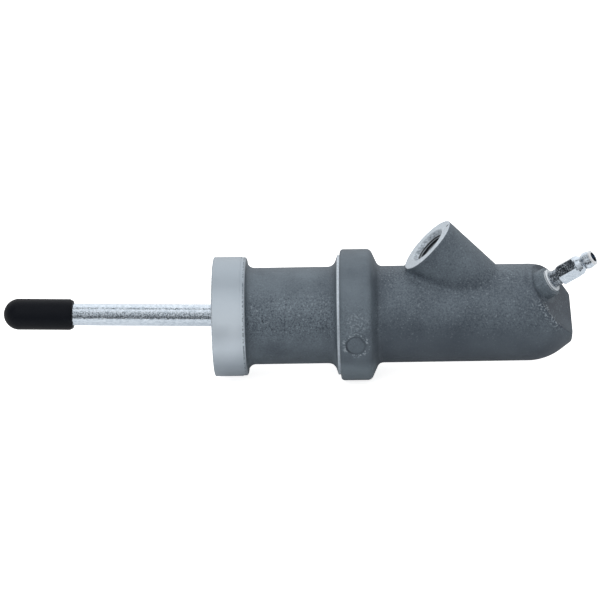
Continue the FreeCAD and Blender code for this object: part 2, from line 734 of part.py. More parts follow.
def push_rod(b):
    body = b.body("push_rod")
    b.place(body, "socket_place", "rod_tilt", "rod_azimuth")
    b.turned(body, "shank", (
        ("0", "0"),
        ("0", "rod_neck_radius"),
        ("rod_neck_end", "rod_neck_radius"),
        ("rod_neck_end + rod_neck_cone", "rod_radius"),
        ("rod_end", "rod_radius", "rod_end_round"),
        ("rod_end", "0"),
    ))
    b.ball(body, "ball", "0", "ball_radius")
    return body


def rod_clip(b):
    body = b.body("rod_clip")
    b.open_ring(body, "clip", (
        ("clip_groove_front + face_gap", "clip_inner_radius"),
        ("clip_groove_front + face_gap", "clip_outer_radius"),
        ("clip_groove_front + face_gap + clip_thickness", "clip_outer_radius"),
        ("clip_groove_front + face_gap + clip_thickness", "clip_inner_radius"),
    ), "clip_open_angle")
    return body


def rod_end_cap(b):
    body = b.body("rod_end_cap")
    b.place(body, "socket_place", "rod_tilt", "rod_azimuth")
    b.turned(body, "sleeve", (
        ("cap_mouth", "0"),
        ("cap_mouth", "cap_mouth_radius"),
        ("cap_mouth + cap_taper", "cap_radius"),
        ("cap_tip - cap_radius", "cap_radius"),
        ("cap_tip - cap_radius", "0"),
    ))
    b.ball(body, "nose", "cap_tip - cap_radius", "cap_radius")
    b.turned(body, "rod_hole", (
        ("cap_mouth - face_gap", "0"),
        ("cap_mouth - face_gap", "rod_radius + cap_fit"),
        ("cap_hole_end", "rod_radius + cap_fit", "rod_end_round"),
        ("cap_hole_end", "0"),
    ), cut=True)
    return body


def bleeder_screw(b):
    body = b.body("bleeder_screw")
    b.place(body, BLEED_BASE, "bleed_tilt", "bleed_azimuth")
    slope = "(bleed_hole_radius - bleed_drill_radius) / (bleed_seat_top - bleed_seat_low)"
    cone = "bleed_drill_radius - cone_gap + (SPOT - bleed_seat_low) * " + slope
    shank = "bleed_hole_radius - run_gap"
    b.turned(body, "turned_form", (
        ("screw_tip", "0"),
        ("screw_tip", cone.replace("SPOT", "screw_tip")),
        ("screw_cone_end", cone.replace("SPOT", "screw_cone_end")),
        ("screw_cone_end", "screw_relief_radius"),
        ("screw_relief", "screw_relief_radius"),
        ("screw_relief + screw_run_in", shank),
        ("hex_start + hex_length", shank),
        ("hex_start + hex_length", "hex_face_radius"),
        ("shoulder_end", "hex_face_radius"),
        ("nipple_neck", "nipple_neck_radius"),
        ("nipple_neck_end", "nipple_neck_radius"),
        ("barb_start", "barb_radius"),
        ("barb_start + barb_length", "barb_radius"),
        ("screw_end", "rim_radius", "rim_end_round"),
        ("screw_end", "0"),
    ))
    add_hexagon(b, body)
    b.turned(body, "outlet", (
        ("channel_end", "0"),
        ("channel_end", "channel_radius"),
        ("screw_end - outlet_depth", "channel_radius"),
        ("screw_end - outlet_depth + outlet_radius - channel_radius", "outlet_radius"),
        ("screw_end", "outlet_radius"),
        ("screw_end", "0"),
    ), cut=True)
    cut_cross_hole(b, body)
    return body


def add_hexagon(b, body):
    sketch = body.newObject("Sketcher::SketchObject", "hexagon_outline")
    plane = [f for f in body.Origin.OriginFeatures if f.Role == "YZ_Plane"][0]
    sketch.AttachmentSupport = (plane, [""])
    sketch.MapMode = "FlatFace"
    sketch.setExpression("AttachmentOffset.Base.z", b.words("hex_start"))
    sketch.setExpression("AttachmentOffset.Rotation.Angle", b.words("hex_turn"))
    b.doc.recompute()
    corner = b.value("hex_flats") / 2 / math.cos(math.pi / 6)
    points = [FreeCAD.Vector(corner * math.cos(i * math.pi / 3),
                             corner * math.sin(i * math.pi / 3), 0) for i in range(6)]
    for i in range(6):
        sketch.addGeometry(Part.LineSegment(points[i], points[(i + 1) % 6]), False)
    circle = Part.Circle(FreeCAD.Vector(0, 0, 0), Z_AXIS, corner)
    guide = sketch.addGeometry(circle, True)
    sketch.addConstraint(Sketcher.Constraint("Coincident", guide, 3, -1, 1))
    for i in range(6):
        sketch.addConstraint(Sketcher.Constraint("Coincident", i, 2, (i + 1) % 6, 1))
        sketch.addConstraint(Sketcher.Constraint("PointOnObject", i, 1, guide))
    for i in range(5):
        sketch.addConstraint(Sketcher.Constraint("Equal", i, i + 1))
    sketch.addConstraint(Sketcher.Constraint("PointOnObject", 0, 1, -1))
    b.fix(sketch, "Radius", guide, text="hex_flats / 2 / cos(30)")
    b.doc.recompute()
    pad = body.newObject("PartDesign::Pad", "hexagon")
    pad.Profile = sketch
    pad.setExpression("Length", b.words("hex_length"))
    b.doc.recompute()
    chamfer_hexagon(b, body)


def chamfer_hexagon(b, body):
    """Turned corners at both ends of the hexagon."""
    corner = "hex_flats / 2 / cos(30)"
    lift = "(hex_flats / 2 / cos(30) - hex_face_radius) * tan(30)"
    for name, edge, sign in (("hex_inner", "hex_start", "+"),
                             ("hex_outer", "hex_start + hex_length", "-")):
        b.turned(body, name, (
            (edge, "hex_face_radius"),
            (f"{edge} {sign} {lift}", corner),
            (f"{edge} {sign} {lift}", corner + " + hex_flats / 10"),
            (edge, corner + " + hex_flats / 10"),
        ), cut=True)


def cut_cross_hole(b, body):
    sketch = b.sketch(body, "cross_hole_outline")
    b.doc.recompute()
    place = b.value("cross_hole_place")
    circle = Part.Circle(FreeCAD.Vector(place, 0, 0), Z_AXIS, b.value("cross_hole_radius"))
    sketch.addGeometry(circle, False)
    b.fix(sketch, "DistanceX", -1, 1, 0, 3, text="cross_hole_place")
    sketch.addConstraint(Sketcher.Constraint("PointOnObject", 0, 3, -1))
    b.fix(sketch, "Radius", 0, text="cross_hole_radius")
    b.doc.recompute()
    pocket = body.newObject("PartDesign::Pocket", "cross_hole")
    pocket.Profile = sketch
    pocket.SideType = "Symmetric"
    pocket.setExpression("Length", b.words("full_depth"))
    b.doc.recompute()


SUB_PARTS = (
    cylinder_casting,
    piston,
    piston_ring_seal,
    cup_washer,
    primary_cup,
    spring_seat,
    return_spring,
    stop_washer,
    snap_ring,
    dust_boot,
    boot_ring,
    push_rod,
    rod_clip,
    rod_end_cap,
    bleeder_screw,
)


def check(doc):
    for thing in doc.Objects:
        if "Invalid" in thing.State or "Error" in thing.State:
            raise RuntimeError(f"{thing.Name} did not compute: {thing.State}")


def main():
    b = Builder()
    made = [make(b) for make in SUB_PARTS]
    b.doc.recompute()
    check(b.doc)
    os.makedirs("parts", exist_ok=True)
    for thing in made:
        shape = thing.Shape
        if shape.isNull() or not shape.isValid() or shape.Volume <= 0:
            raise RuntimeError(f"{thing.Label} has no valid shape")
        shape.exportStep(f"parts/{thing.Label}.step")
        print(thing.Label, round(shape.Volume, 1), len(shape.Solids))


main()
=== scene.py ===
"""Clutch slave cylinder: finishes for the packed parts, the small forms that follow from them, and a studio.

Meshes are in metres, in the packed parts' own frame: +X along the bore to the closed end, +Z up through the
fluid port. Add-on panel: 3D View > Sidebar > Cylinder.
"""

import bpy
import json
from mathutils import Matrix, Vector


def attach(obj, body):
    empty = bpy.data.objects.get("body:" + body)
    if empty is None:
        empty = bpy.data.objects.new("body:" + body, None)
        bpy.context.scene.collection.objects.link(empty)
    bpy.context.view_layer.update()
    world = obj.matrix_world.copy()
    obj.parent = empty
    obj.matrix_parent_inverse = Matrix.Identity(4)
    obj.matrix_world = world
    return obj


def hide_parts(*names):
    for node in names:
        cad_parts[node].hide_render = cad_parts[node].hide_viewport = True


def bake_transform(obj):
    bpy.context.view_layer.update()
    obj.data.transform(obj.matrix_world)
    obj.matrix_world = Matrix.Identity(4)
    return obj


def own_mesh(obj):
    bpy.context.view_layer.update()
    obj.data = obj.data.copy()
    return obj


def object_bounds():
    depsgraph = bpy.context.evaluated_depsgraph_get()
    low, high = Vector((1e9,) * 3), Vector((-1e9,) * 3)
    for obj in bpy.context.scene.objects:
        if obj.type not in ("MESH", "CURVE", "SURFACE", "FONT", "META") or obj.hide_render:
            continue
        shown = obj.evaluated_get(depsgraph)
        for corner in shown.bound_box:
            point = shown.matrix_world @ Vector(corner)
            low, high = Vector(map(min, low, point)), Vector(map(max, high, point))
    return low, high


bl_info = {
    "name": "Clutch Slave Cylinder",
    "version": (1, 0, 0),
    "blender": (4, 5, 0),
    "location": "3D View > Sidebar > Cylinder",
    "description": "Finishes a cast clutch slave cylinder and lights it in a white studio",
    "category": "Object",
}

import json
import math

import bmesh
import bpy
from mathutils import Matrix, Vector, noise

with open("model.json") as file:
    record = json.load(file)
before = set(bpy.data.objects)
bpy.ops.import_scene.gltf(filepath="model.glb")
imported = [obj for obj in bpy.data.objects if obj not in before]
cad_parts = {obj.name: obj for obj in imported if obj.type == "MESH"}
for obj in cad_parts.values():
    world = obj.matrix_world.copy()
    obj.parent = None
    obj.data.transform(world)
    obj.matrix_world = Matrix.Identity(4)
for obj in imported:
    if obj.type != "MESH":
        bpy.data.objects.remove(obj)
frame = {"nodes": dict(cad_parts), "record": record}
CAD_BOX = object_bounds()
MOUNTS = {mount["name"]: mount for mount in frame["record"]["mounts"]}
JOINTS = {joint["name"]: joint for joint in frame["record"]["behaviour"]["joints"]}
MM = 0.001


def line(tilt, azimuth):
    """Direction tilted from +X by the first angle, in a plane turned from +Z towards -Y by the second."""
    t, a = math.radians(tilt), math.radians(azimuth)
    return Vector((math.cos(t), -math.sin(t) * math.sin(a), math.sin(t) * math.cos(a)))


def axis_of(name):
    """Place and outward direction of a mount."""
    return Vector(MOUNTS[name]["pos_m"]), Vector(MOUNTS[name]["axis"]).normalized()


# Lines of the part: the bore, the fluid port, the bleed screw from its end, and the rod from its ball.
CENTRE, BORE = Vector((0, 0, 0)), Vector((1, 0, 0))
PORT, PORT_OUT = axis_of("fluid_port")
BLEED_TIP, BLEED_OUT = axis_of("bleed_nipple")
BALL = Vector(JOINTS["rod_swing"]["pos_m"])
ROD_OUT = (axis_of("rod_tip")[0] - BALL).normalized()

# Places along the bore: flange front, end of its turned land, flange back, and what still counts as flange.
FLANGE_FRONT = -45.2 * MM
LAND_END = -35.22 * MM
FLANGE_BACK = -33.0 * MM
FLANGE_REACH = -30.0 * MM
COLLAR_LAND = (-0.95 * MM, 0.02 * MM)
BORE_END = 52.4 * MM
# Radii about the bore. Between the last two a spot comes to count as collar.
MOUTH_RADIUS = 15.9 * MM
RIM_RADIUS = 20.5 * MM
COLLAR_LAND_RADII = (20.9 * MM, 21.6 * MM)
COLLAR_START = 19 * MM
COLLAR_WHOLE = 21 * MM

# Heights and radii on the port, outwards from its mount. The drilling is counted as cut down to the first.
PORT_DRILLED = -12 * MM
THREAD_BOTTOM = -5.5 * MM
THREAD_LENGTH = 10.3 * MM
PORT_FACE = 7.3 * MM
PORT_SINK_RADIUS = 7.6 * MM
PORT_FACE_RADIUS = 12 * MM

# Depths and radii on the bleed screw, inwards from its end, and on the machined ring and hole under it.
SCREW_RIM = 0.65 * MM
SCREW_SHANK = 13.7 * MM
RING_TOP = 17.2 * MM
BLEED_HOLE_END = 32 * MM
OUTLET_RADIUS = 1.85 * MM
SHANK_RADIUS = 3.1 * MM
RING_RADIUS = 4.25 * MM
SCREW_RADIUS = 5 * MM

# Middle of the foundry mark on the collar, the patch rubbed bright above it, the plane of the slanted facet,
# and a casting pore that is open on the port's face.
MARK_CENTRE = Vector((5.65 * MM, 0, 0)) + line(90.0, 95.6) * 23.5 * MM
RUBBED_PATCH = Vector((6.0, -22.8, 5.5)) * MM
FACET_NORMAL = line(38.4, 19.0)
FACET_HEIGHT = 81.9 * MM * FACET_NORMAL.x
OPEN_PORE = PORT + PORT_OUT * PORT_FACE + line(45.0, 0.0) * 10.1 * MM

# Scale of a wave texture whose bands lie a given distance apart is this over the distance.
WAVE = 0.314
# A Mix node's two colour sockets share their names with its number sockets, so they go by place.
UNDER, OVER = 6, 7

# Small helpers


def linear(code):
    """An sRGB hex colour as linear red, green, blue and alpha."""
    parts = [int(code[i:i + 2], 16) / 255 for i in (0, 2, 4)]
    return tuple(c / 12.92 if c <= 0.04045 else ((c + 0.055) / 1.055) ** 2.4 for c in parts) + (1.0,)


def per_metre(millimetres):
    """Texture scale whose cells measure so many millimetres."""
    return 1.0 / (millimetres * MM)


def add(tree, kind, inputs=None, **settings):
    """One node with its settings, and a value or a link on each named input.

    A node given as a value is linked by the first output that its settings leave open.
    """
    made = tree.nodes.new(kind)
    for name, value in settings.items():
        setattr(made, name, value)
    for name, value in (inputs or {}).items():
        if isinstance(value, bpy.types.Node):
            value = next(socket for socket in value.outputs if socket.enabled)
        if isinstance(value, bpy.types.NodeSocket):
            tree.links.new(value, made.inputs[name])
        else:
            made.inputs[name].default_value = value
    return made


def blank_material(name):
    """A material with an empty tree."""
    made = bpy.data.materials.new(name)
    made.use_nodes = True
    made.node_tree.nodes.clear()
    return made, made.node_tree


def coated(material, inputs):
    """The material, with its one shader set and wired to its output."""
    shader = add(material.node_tree, "ShaderNodeBsdfPrincipled", inputs)
    add(material.node_tree, "ShaderNodeOutputMaterial", {"Surface": shader})
    return material


def distance_along(tree, place, start, direction):
    """How far each spot lies along a line from its start."""
    offset = add(tree, "ShaderNodeVectorMath", {0: place, 1: start}, operation="SUBTRACT")
    return add(tree, "ShaderNodeVectorMath", {0: offset, 1: direction}, operation="DOT_PRODUCT")


def distance_off(tree, place, start, direction):
    """How far each spot lies off a line."""
    offset = add(tree, "ShaderNodeVectorMath", {0: place, 1: start}, operation="SUBTRACT")
    across = add(tree, "ShaderNodeVectorMath", {0: offset, 1: direction}, operation="CROSS_PRODUCT")
    return add(tree, "ShaderNodeVectorMath", {0: across}, operation="LENGTH")


def dress(node, material):
    """Gives a packed part its finish."""
    part = frame["nodes"][node]
    part.data.materials.clear()
    part.data.materials.append(material)


def new_piece(name, mesh, *materials):
    """Links a finished mesh as an object at the origin."""
    for material in materials:
        mesh.materials.append(material)
    piece = bpy.data.objects.new(name, mesh)
    bpy.context.scene.collection.objects.link(piece)
    return piece


def welded_copy(node, name, *materials):
    """A packed part's mesh with its loose triangles joined and its exact normals kept."""
    source = frame["nodes"][node].data
    mesh = bmesh.new()
    mesh.from_mesh(source)
    kept = mesh.loops.layers.float_vector.new("kept_normal")
    for face in mesh.faces:
        for loop in face.loops:
            loop[kept] = source.corner_normals[loop.index].vector
    bmesh.ops.remove_doubles(mesh, verts=mesh.verts, dist=0.001 * MM)
    made = bpy.data.meshes.new(name)
    mesh.to_mesh(made)
    mesh.free()
    normals = [tuple(value.vector) for value in made.attributes["kept_normal"].data]
    made.attributes.remove(made.attributes["kept_normal"])
    made.shade_smooth()
    made.normals_split_custom_set(normals)
    return new_piece(name, made, *materials)


def eased(outline, times):
    """A closed outline with its corners cut back to a smooth curve."""
    for _ in range(times):
        rounder = []
        for here, after in zip(outline, outline[1:] + outline[:1]):
            rounder.append((0.75 * here[0] + 0.25 * after[0], 0.75 * here[1] + 0.25 * after[1]))
            rounder.append((0.25 * here[0] + 0.75 * after[0], 0.25 * here[1] + 0.75 * after[1]))
        outline = rounder
    return outline


def moulded(name, outline, start, direction, steps):
    """Closed ring mesh: an outline of (distance, radius) in millimetres turned about a line."""
    turn = direction.to_track_quat("Z", "Y").to_matrix()
    mesh = bmesh.new()
    rings = []
    for step in range(steps):
        angle = 2 * math.pi * step / steps
        spoke = turn @ Vector((math.cos(angle), math.sin(angle), 0.0))
        rings.append([mesh.verts.new(start + direction * along * MM + spoke * radius * MM)
                      for along, radius in outline])
    for ring, after in zip(rings, rings[1:] + rings[:1]):
        for i in range(len(outline)):
            j = (i + 1) % len(outline)
            mesh.faces.new((ring[i], ring[j], after[j], after[i]))
    bmesh.ops.recalc_face_normals(mesh, faces=mesh.faces)
    made = bpy.data.meshes.new(name)
    mesh.to_mesh(made)
    mesh.free()
    made.shade_smooth()
    return made


# What a user may change

COLOUR = {"size": 4, "subtype": "COLOR", "min": 0.0, "max": 1.0}


class CastingLook(bpy.types.PropertyGroup):
    """Colours and grain of the iron body"""

    # The dark skin colour is also laid on as painted shade low down and behind the collar.
    skin_dark_and_shade: bpy.props.FloatVectorProperty(
        name="Skin, hollows", description="Colour in the pores of the cast skin",
        default=linear("454E58"), **COLOUR)
    skin_light: bpy.props.FloatVectorProperty(
        name="Skin, high spots", description="Colour of the cast skin between its pores",
        default=linear("7A868F"), **COLOUR)
    grain: bpy.props.FloatProperty(
        name="Sand grain", description="Size of the grains that the mould left on the skin",
        unit="LENGTH", default=0.6 * MM, min=0.2 * MM, max=4 * MM)
    cut_metal: bpy.props.FloatVectorProperty(
        name="Turned iron", description="Colour of the iron where it is machined",
        default=linear("D0DAE3"), **COLOUR)
    feed: bpy.props.FloatProperty(
        name="Feed marks", description="Spacing of the tool marks on the turned faces",
        unit="LENGTH", default=0.35 * MM, min=0.05 * MM, max=2 * MM)


class RodLook(bpy.types.PropertyGroup):
    """Plating of the rod and the bleed screw, and the soft cap"""

    zinc: bpy.props.FloatVectorProperty(
        name="Zinc", description="Colour of the bright zinc plating",
        default=linear("DDE7F1"), **COLOUR)
    mottle: bpy.props.FloatProperty(
        name="Mottle", description="Size of the patches in the plating",
        unit="LENGTH", default=0.8 * MM, min=0.3 * MM, max=5 * MM)
    vinyl: bpy.props.FloatVectorProperty(
        name="Cap vinyl", description="Colour of the dipped vinyl cap",
        default=linear("0D1016"), **COLOUR)
    sag: bpy.props.FloatProperty(
        name="Cap unevenness", description="How far the soft cap dips between its high spots",
        unit="LENGTH", default=0.16 * MM, min=0.0, max=0.5 * MM)


class BootLook(bpy.types.PropertyGroup):
    """Moulded rubber bellows in the mouth"""

    rubber: bpy.props.FloatVectorProperty(
        name="Rubber", description="Colour of the moulded rubber",
        default=linear("1E2023"), **COLOUR)
    steps: bpy.props.IntProperty(
        name="Steps round", description="Number of steps that a moulded ring is turned in",
        default=96, min=24, max=256)


class ThreadSizes(bpy.types.PropertyGroup):
    """Cut thread of the fluid port"""

    pitch: bpy.props.FloatProperty(
        name="Pitch", description="Distance between two turns of the thread",
        unit="LENGTH", default=1.0 * MM, min=0.25 * MM, max=3 * MM)
    depth: bpy.props.FloatProperty(
        name="Depth", description="Half depth of a thread's ridge",
        unit="LENGTH", default=0.42 * MM, min=0.1 * MM, max=1 * MM)


class StudioLook(bpy.types.PropertyGroup):
    """Camera and lights"""

    distance: bpy.props.FloatProperty(
        name="Camera distance", description="From the camera to the cylinder's axis",
        unit="LENGTH", default=0.94, min=0.2)
    height: bpy.props.FloatProperty(
        name="Camera height", description="Angle of the camera above the horizon",
        unit="ROTATION", default=math.radians(22.0))
    roll: bpy.props.FloatProperty(
        name="Camera roll", description="Tilt of the picture about the view",
        unit="ROTATION", default=math.radians(0.88))
    width: bpy.props.FloatProperty(
        name="View width", description="What the picture spans at the cylinder",
        unit="LENGTH", default=0.2158, min=0.05)
    key: bpy.props.FloatProperty(
        name="Key light", description="Power of the large lamp above the front",
        unit="POWER", default=4.2, min=0.0)


# Cast iron, as it leaves the mould


def grain_strength(tree, spot, out, closed_half, flank):
    """The grain is strongest a little above the middle of the flanks, and weak on the collar."""
    above = add(tree, "ShaderNodeMapRange", {"Value": spot["Z"], "From Min": -4 * MM, "From Max": 2 * MM})
    below = add(tree, "ShaderNodeMapRange", {"Value": spot["Z"], "From Min": 15 * MM, "From Max": 9 * MM})
    boss = add(tree, "ShaderNodeMapRange", {"Value": spot["Z"], "From Min": 42 * MM, "From Max": 34 * MM})
    boss = add(tree, "ShaderNodeMath", {0: boss, 1: closed_half}, operation="MULTIPLY")
    below = add(tree, "ShaderNodeMath", {0: below, 1: boss}, operation="MAXIMUM")
    band = add(tree, "ShaderNodeMath", {0: above, 1: below}, operation="MULTIPLY")
    strength = add(tree, "ShaderNodeMapRange", {"Value": band, "To Min": 0.3})
    collar = add(tree, "ShaderNodeMapRange", {
        "Value": out, "From Min": COLLAR_START, "From Max": COLLAR_WHOLE, "To Min": 1.0, "To Max": 0.45})
    calmer = add(tree, "ShaderNodeMapRange", {"Value": flank, "To Min": 1.0, "To Max": 0.6})
    for weaker in (collar, calmer):
        strength = add(tree, "ShaderNodeMath", {0: strength, 1: weaker}, operation="MULTIPLY")
    return strength


def painted_collar_light_and_facet_shade(tree, spot, out, off_facet):
    """Painted light brightens the collar's underside, as bounce from the floor, and painted shade darkens the
    slanted facet against the skin round it.
    """
    collar = add(tree, "ShaderNodeMapRange", {
        "Value": out, "From Min": COLLAR_START, "From Max": COLLAR_WHOLE})
    under = add(tree, "ShaderNodeMapRange", {
        "Value": spot["Z"], "From Min": -9 * MM, "From Max": -18 * MM, "To Max": 1.3})
    lighter = add(tree, "ShaderNodeMath", {0: collar, 1: under}, operation="MULTIPLY")
    facet = add(tree, "ShaderNodeMapRange", {
        "Value": off_facet, "From Min": -0.5 * MM, "From Max": -0.1 * MM, "To Max": -0.22})
    return add(tree, "ShaderNodeMath", {0: lighter, 1: facet}, operation="ADD")


def painted_low_and_hollow_shade(tree, spot, closed_half, pad):
    """Painted shade: darker low down on the closed half, lower still towards its end, and in the hollow
    behind the collar. The bleed screw's pad has neither."""
    slope = add(tree, "ShaderNodeMath", {0: spot["X"], 1: 0.17, 2: spot["Z"]}, operation="MULTIPLY_ADD")
    low_down = add(tree, "ShaderNodeMapRange", {
        "Value": slope, "From Min": 16 * MM, "From Max": 4 * MM}, interpolation_type="SMOOTHSTEP")
    painted_shade = add(tree, "ShaderNodeMath", {0: closed_half, 1: low_down}, operation="MULTIPLY")
    hollow_shade_start = add(tree, "ShaderNodeMapRange", {
        "Value": spot["X"], "From Min": 11.5 * MM, "From Max": 13.5 * MM})
    hollow_shade_end = add(tree, "ShaderNodeMapRange", {
        "Value": spot["X"], "From Min": 20 * MM, "From Max": 14.5 * MM, "To Max": 0.7})
    hollow_shade = add(tree, "ShaderNodeMath", {0: hollow_shade_start, 1: hollow_shade_end}, operation="MULTIPLY")
    painted_shade = add(tree, "ShaderNodeMath", {0: painted_shade, 1: hollow_shade}, operation="MAXIMUM")
    off_pad = add(tree, "ShaderNodeMath", {0: 1.0, 1: pad}, operation="SUBTRACT")
    painted_shade = add(tree, "ShaderNodeMath", {0: painted_shade, 1: off_pad}, operation="MULTIPLY")
    return add(tree, "ShaderNodeMapRange", {"Value": painted_shade, "To Max": 0.55})


def worn_places(tree, place, spot, out, to_mark, off_facet):
    """Metal shines through round the foundry mark, in a patch above it and along the low half of the
    facet's ridge."""
    worn = add(tree, "ShaderNodeMapRange", {"Value": to_mark, "From Min": 3.5 * MM, "From Max": 3.9 * MM})
    mark_out = add(tree, "ShaderNodeMapRange", {"Value": to_mark, "From Min": 5.4 * MM, "From Max": 4.2 * MM})
    worn = add(tree, "ShaderNodeMath", {0: worn, 1: mark_out}, operation="MULTIPLY")
    to_patch = add(tree, "ShaderNodeVectorMath", {0: place, 1: RUBBED_PATCH}, operation="DISTANCE")
    patch = add(tree, "ShaderNodeMapRange", {
        "Value": to_patch, "From Min": 5.5 * MM, "From Max": 2.5 * MM, "To Max": 0.45})
    ridge = add(tree, "ShaderNodeMapRange", {
        "Value": off_facet, "From Min": -2.4 * MM, "From Max": -0.2 * MM})
    wide = add(tree, "ShaderNodeMapRange", {"Value": out, "From Min": 13.2 * MM, "From Max": 15.2 * MM})
    low = add(tree, "ShaderNodeMapRange", {"Value": spot["Z"], "From Min": 11 * MM, "From Max": 8 * MM})
    for limit in (wide, low):
        ridge = add(tree, "ShaderNodeMath", {0: ridge, 1: limit}, operation="MULTIPLY")
    for rubbed in (ridge, patch):
        worn = add(tree, "ShaderNodeMath", {0: worn, 1: rubbed}, operation="MAXIMUM")
    return worn


def groove_painted_shade(tree, spot, to_mark, drift):
    """Painted shade in the foundry mark's groove, in patches and left off its rear half."""
    groove = add(tree, "ShaderNodeMapRange", {"Value": to_mark, "From Min": 2.9 * MM, "From Max": 3.2 * MM})
    outer = add(tree, "ShaderNodeMapRange", {"Value": to_mark, "From Min": 3.75 * MM, "From Max": 3.5 * MM})
    patchy = add(tree, "ShaderNodeMapRange", {
        "Value": drift, "From Min": 0.35, "From Max": 0.6, "To Min": 0.6, "To Max": 0.1})
    shaded_side = add(tree, "ShaderNodeMapRange", {
        "Value": spot["X"], "From Min": 3.5 * MM, "From Max": 7.5 * MM, "To Min": 1.4, "To Max": 0.0})
    for limit in (outer, patchy, shaded_side):
        groove = add(tree, "ShaderNodeMath", {0: groove, 1: limit}, operation="MULTIPLY")
    return groove


def sand_cast_iron(look):
    """Grey iron as it leaves a sand mould: matt, with a fine grain that shows most along the flanks, and
    small bright high spots where castings rub on each other in the bin. Painted light brightens the collar's
    underside and the bleed screw's pad; painted shade darkens the slanted facet, the low closed half, the
    hollow behind the collar and the foundry mark's groove."""
    made, tree = blank_material("sand_cast_grey_iron")
    grain_size = look.grain / MM
    place = add(tree, "ShaderNodeTexCoord").outputs["Object"]
    spot = add(tree, "ShaderNodeSeparateXYZ", {"Vector": place}).outputs
    out = distance_off(tree, place, CENTRE, BORE)
    off_screw = distance_off(tree, place, BLEED_TIP, BLEED_OUT)
    to_mark = add(tree, "ShaderNodeVectorMath", {0: place, 1: MARK_CENTRE}, operation="DISTANCE")
    off_facet = add(tree, "ShaderNodeVectorMath", {0: place, 1: FACET_NORMAL}, operation="DOT_PRODUCT")
    off_facet = add(tree, "ShaderNodeMath", {0: off_facet, 1: FACET_HEIGHT}, operation="SUBTRACT")
    pad = add(tree, "ShaderNodeMapRange", {"Value": off_screw, "From Min": 7.5 * MM, "From Max": 6.0 * MM})
    closed_half = add(tree, "ShaderNodeMapRange", {
        "Value": spot["X"], "From Min": 10.5 * MM, "From Max": 16 * MM}, interpolation_type="SMOOTHSTEP")
    off_boss = add(tree, "ShaderNodeMapRange", {
        "Value": spot["Z"], "From Min": 19 * MM, "From Max": 15 * MM})
    flank = add(tree, "ShaderNodeMath", {0: closed_half, 1: off_boss}, operation="MULTIPLY")
    drift = add(tree, "ShaderNodeTexNoise", {"Vector": place, "Scale": per_metre(13.0), "Detail": 3.0})
    grain = add(tree, "ShaderNodeTexNoise", {
        "Vector": place, "Scale": per_metre(grain_size), "Detail": 3.0, "Roughness": 0.7})
    grit = add(tree, "ShaderNodeTexNoise", {
        "Vector": place, "W": 5.3, "Scale": per_metre(1.1 * grain_size), "Detail": 1.0},
        noise_dimensions="4D")
    strength = grain_strength(tree, spot, out, closed_half, flank)
    swing = add(tree, "ShaderNodeMapRange", {
        "Value": grain, "From Min": 0.3, "From Max": 0.7, "To Min": -0.55, "To Max": 0.55})
    felt = add(tree, "ShaderNodeMath", {0: swing, 1: strength}, operation="MULTIPLY")
    level = add(tree, "ShaderNodeMath", {0: felt, 1: drift}, operation="ADD")
    level = add(tree, "ShaderNodeMath", {0: flank, 1: -0.17, 2: level}, operation="MULTIPLY_ADD")
    # Painted light under the collar and painted shade on the slanted facet.
    level = add(tree, "ShaderNodeMath", {0: level, 1: painted_collar_light_and_facet_shade(tree, spot, out, off_facet)}, operation="ADD")
    # Painted light on the bleed screw's pad, whose underside faces down and falls in shade.
    level = add(tree, "ShaderNodeMath", {0: pad, 1: 0.62, 2: level}, operation="MULTIPLY_ADD")
    # Bright flecks on the high spots, more of them where metal shines through.
    bright = add(tree, "ShaderNodeMapRange", {
        "Value": grit, "From Min": 0.63, "From Max": 0.72, "To Max": 0.42})
    shows = add(tree, "ShaderNodeMapRange", {
        "Value": grit, "From Min": 0.52, "From Max": 0.62, "To Max": 0.8})
    worn = worn_places(tree, place, spot, out, to_mark, off_facet)
    flecks = add(tree, "ShaderNodeMath", {0: bright, 1: strength}, operation="MULTIPLY")
    worn_flecks = add(tree, "ShaderNodeMath", {0: worn, 1: shows}, operation="MULTIPLY")
    flecks = add(tree, "ShaderNodeMath", {0: flecks, 1: worn_flecks}, operation="MAXIMUM")
    # Dirt in the pores, and painted shade in the foundry mark's groove.
    hollow = add(tree, "ShaderNodeMapRange", {
        "Value": grit, "From Min": 0.38, "From Max": 0.28, "To Max": 0.7})
    pore_dirt_and_groove_shade = add(tree, "ShaderNodeMath", {0: hollow, 1: strength}, operation="MULTIPLY")
    groove = groove_painted_shade(tree, spot, to_mark, drift)
    pore_dirt_and_groove_shade = add(tree, "ShaderNodeMath", {0: pore_dirt_and_groove_shade, 1: groove}, operation="MAXIMUM")
    skin = look.skin_dark_and_shade
    # Layers over the dark skin: skin tone with painted light and shade in it, painted shade low down and
    # behind the collar, bright flecks, then pore dirt with painted shade in the mark's groove.
    for cover, colour in (
            (level, look.skin_light), (painted_low_and_hollow_shade(tree, spot, closed_half, pad), look.skin_dark_and_shade),
            (flecks, linear("A9B3BB")), (pore_dirt_and_groove_shade, linear("2B323A"))):
        skin = add(tree, "ShaderNodeMix", {"Factor": cover, UNDER: skin, OVER: colour}, data_type="RGBA")
    height = add(tree, "ShaderNodeMath", {0: grit, 1: 0.5, 2: grain}, operation="MULTIPLY_ADD")
    return coated(made, {
        "Base Color": skin, "Metallic": 0.35,
        "Roughness": add(tree, "ShaderNodeMapRange", {"Value": grain, "To Min": 0.5, "To Max": 0.7}),
        "Normal": add(tree, "ShaderNodeBump", {"Strength": 0.3, "Distance": 0.1 * MM, "Height": height})})


# Turned iron


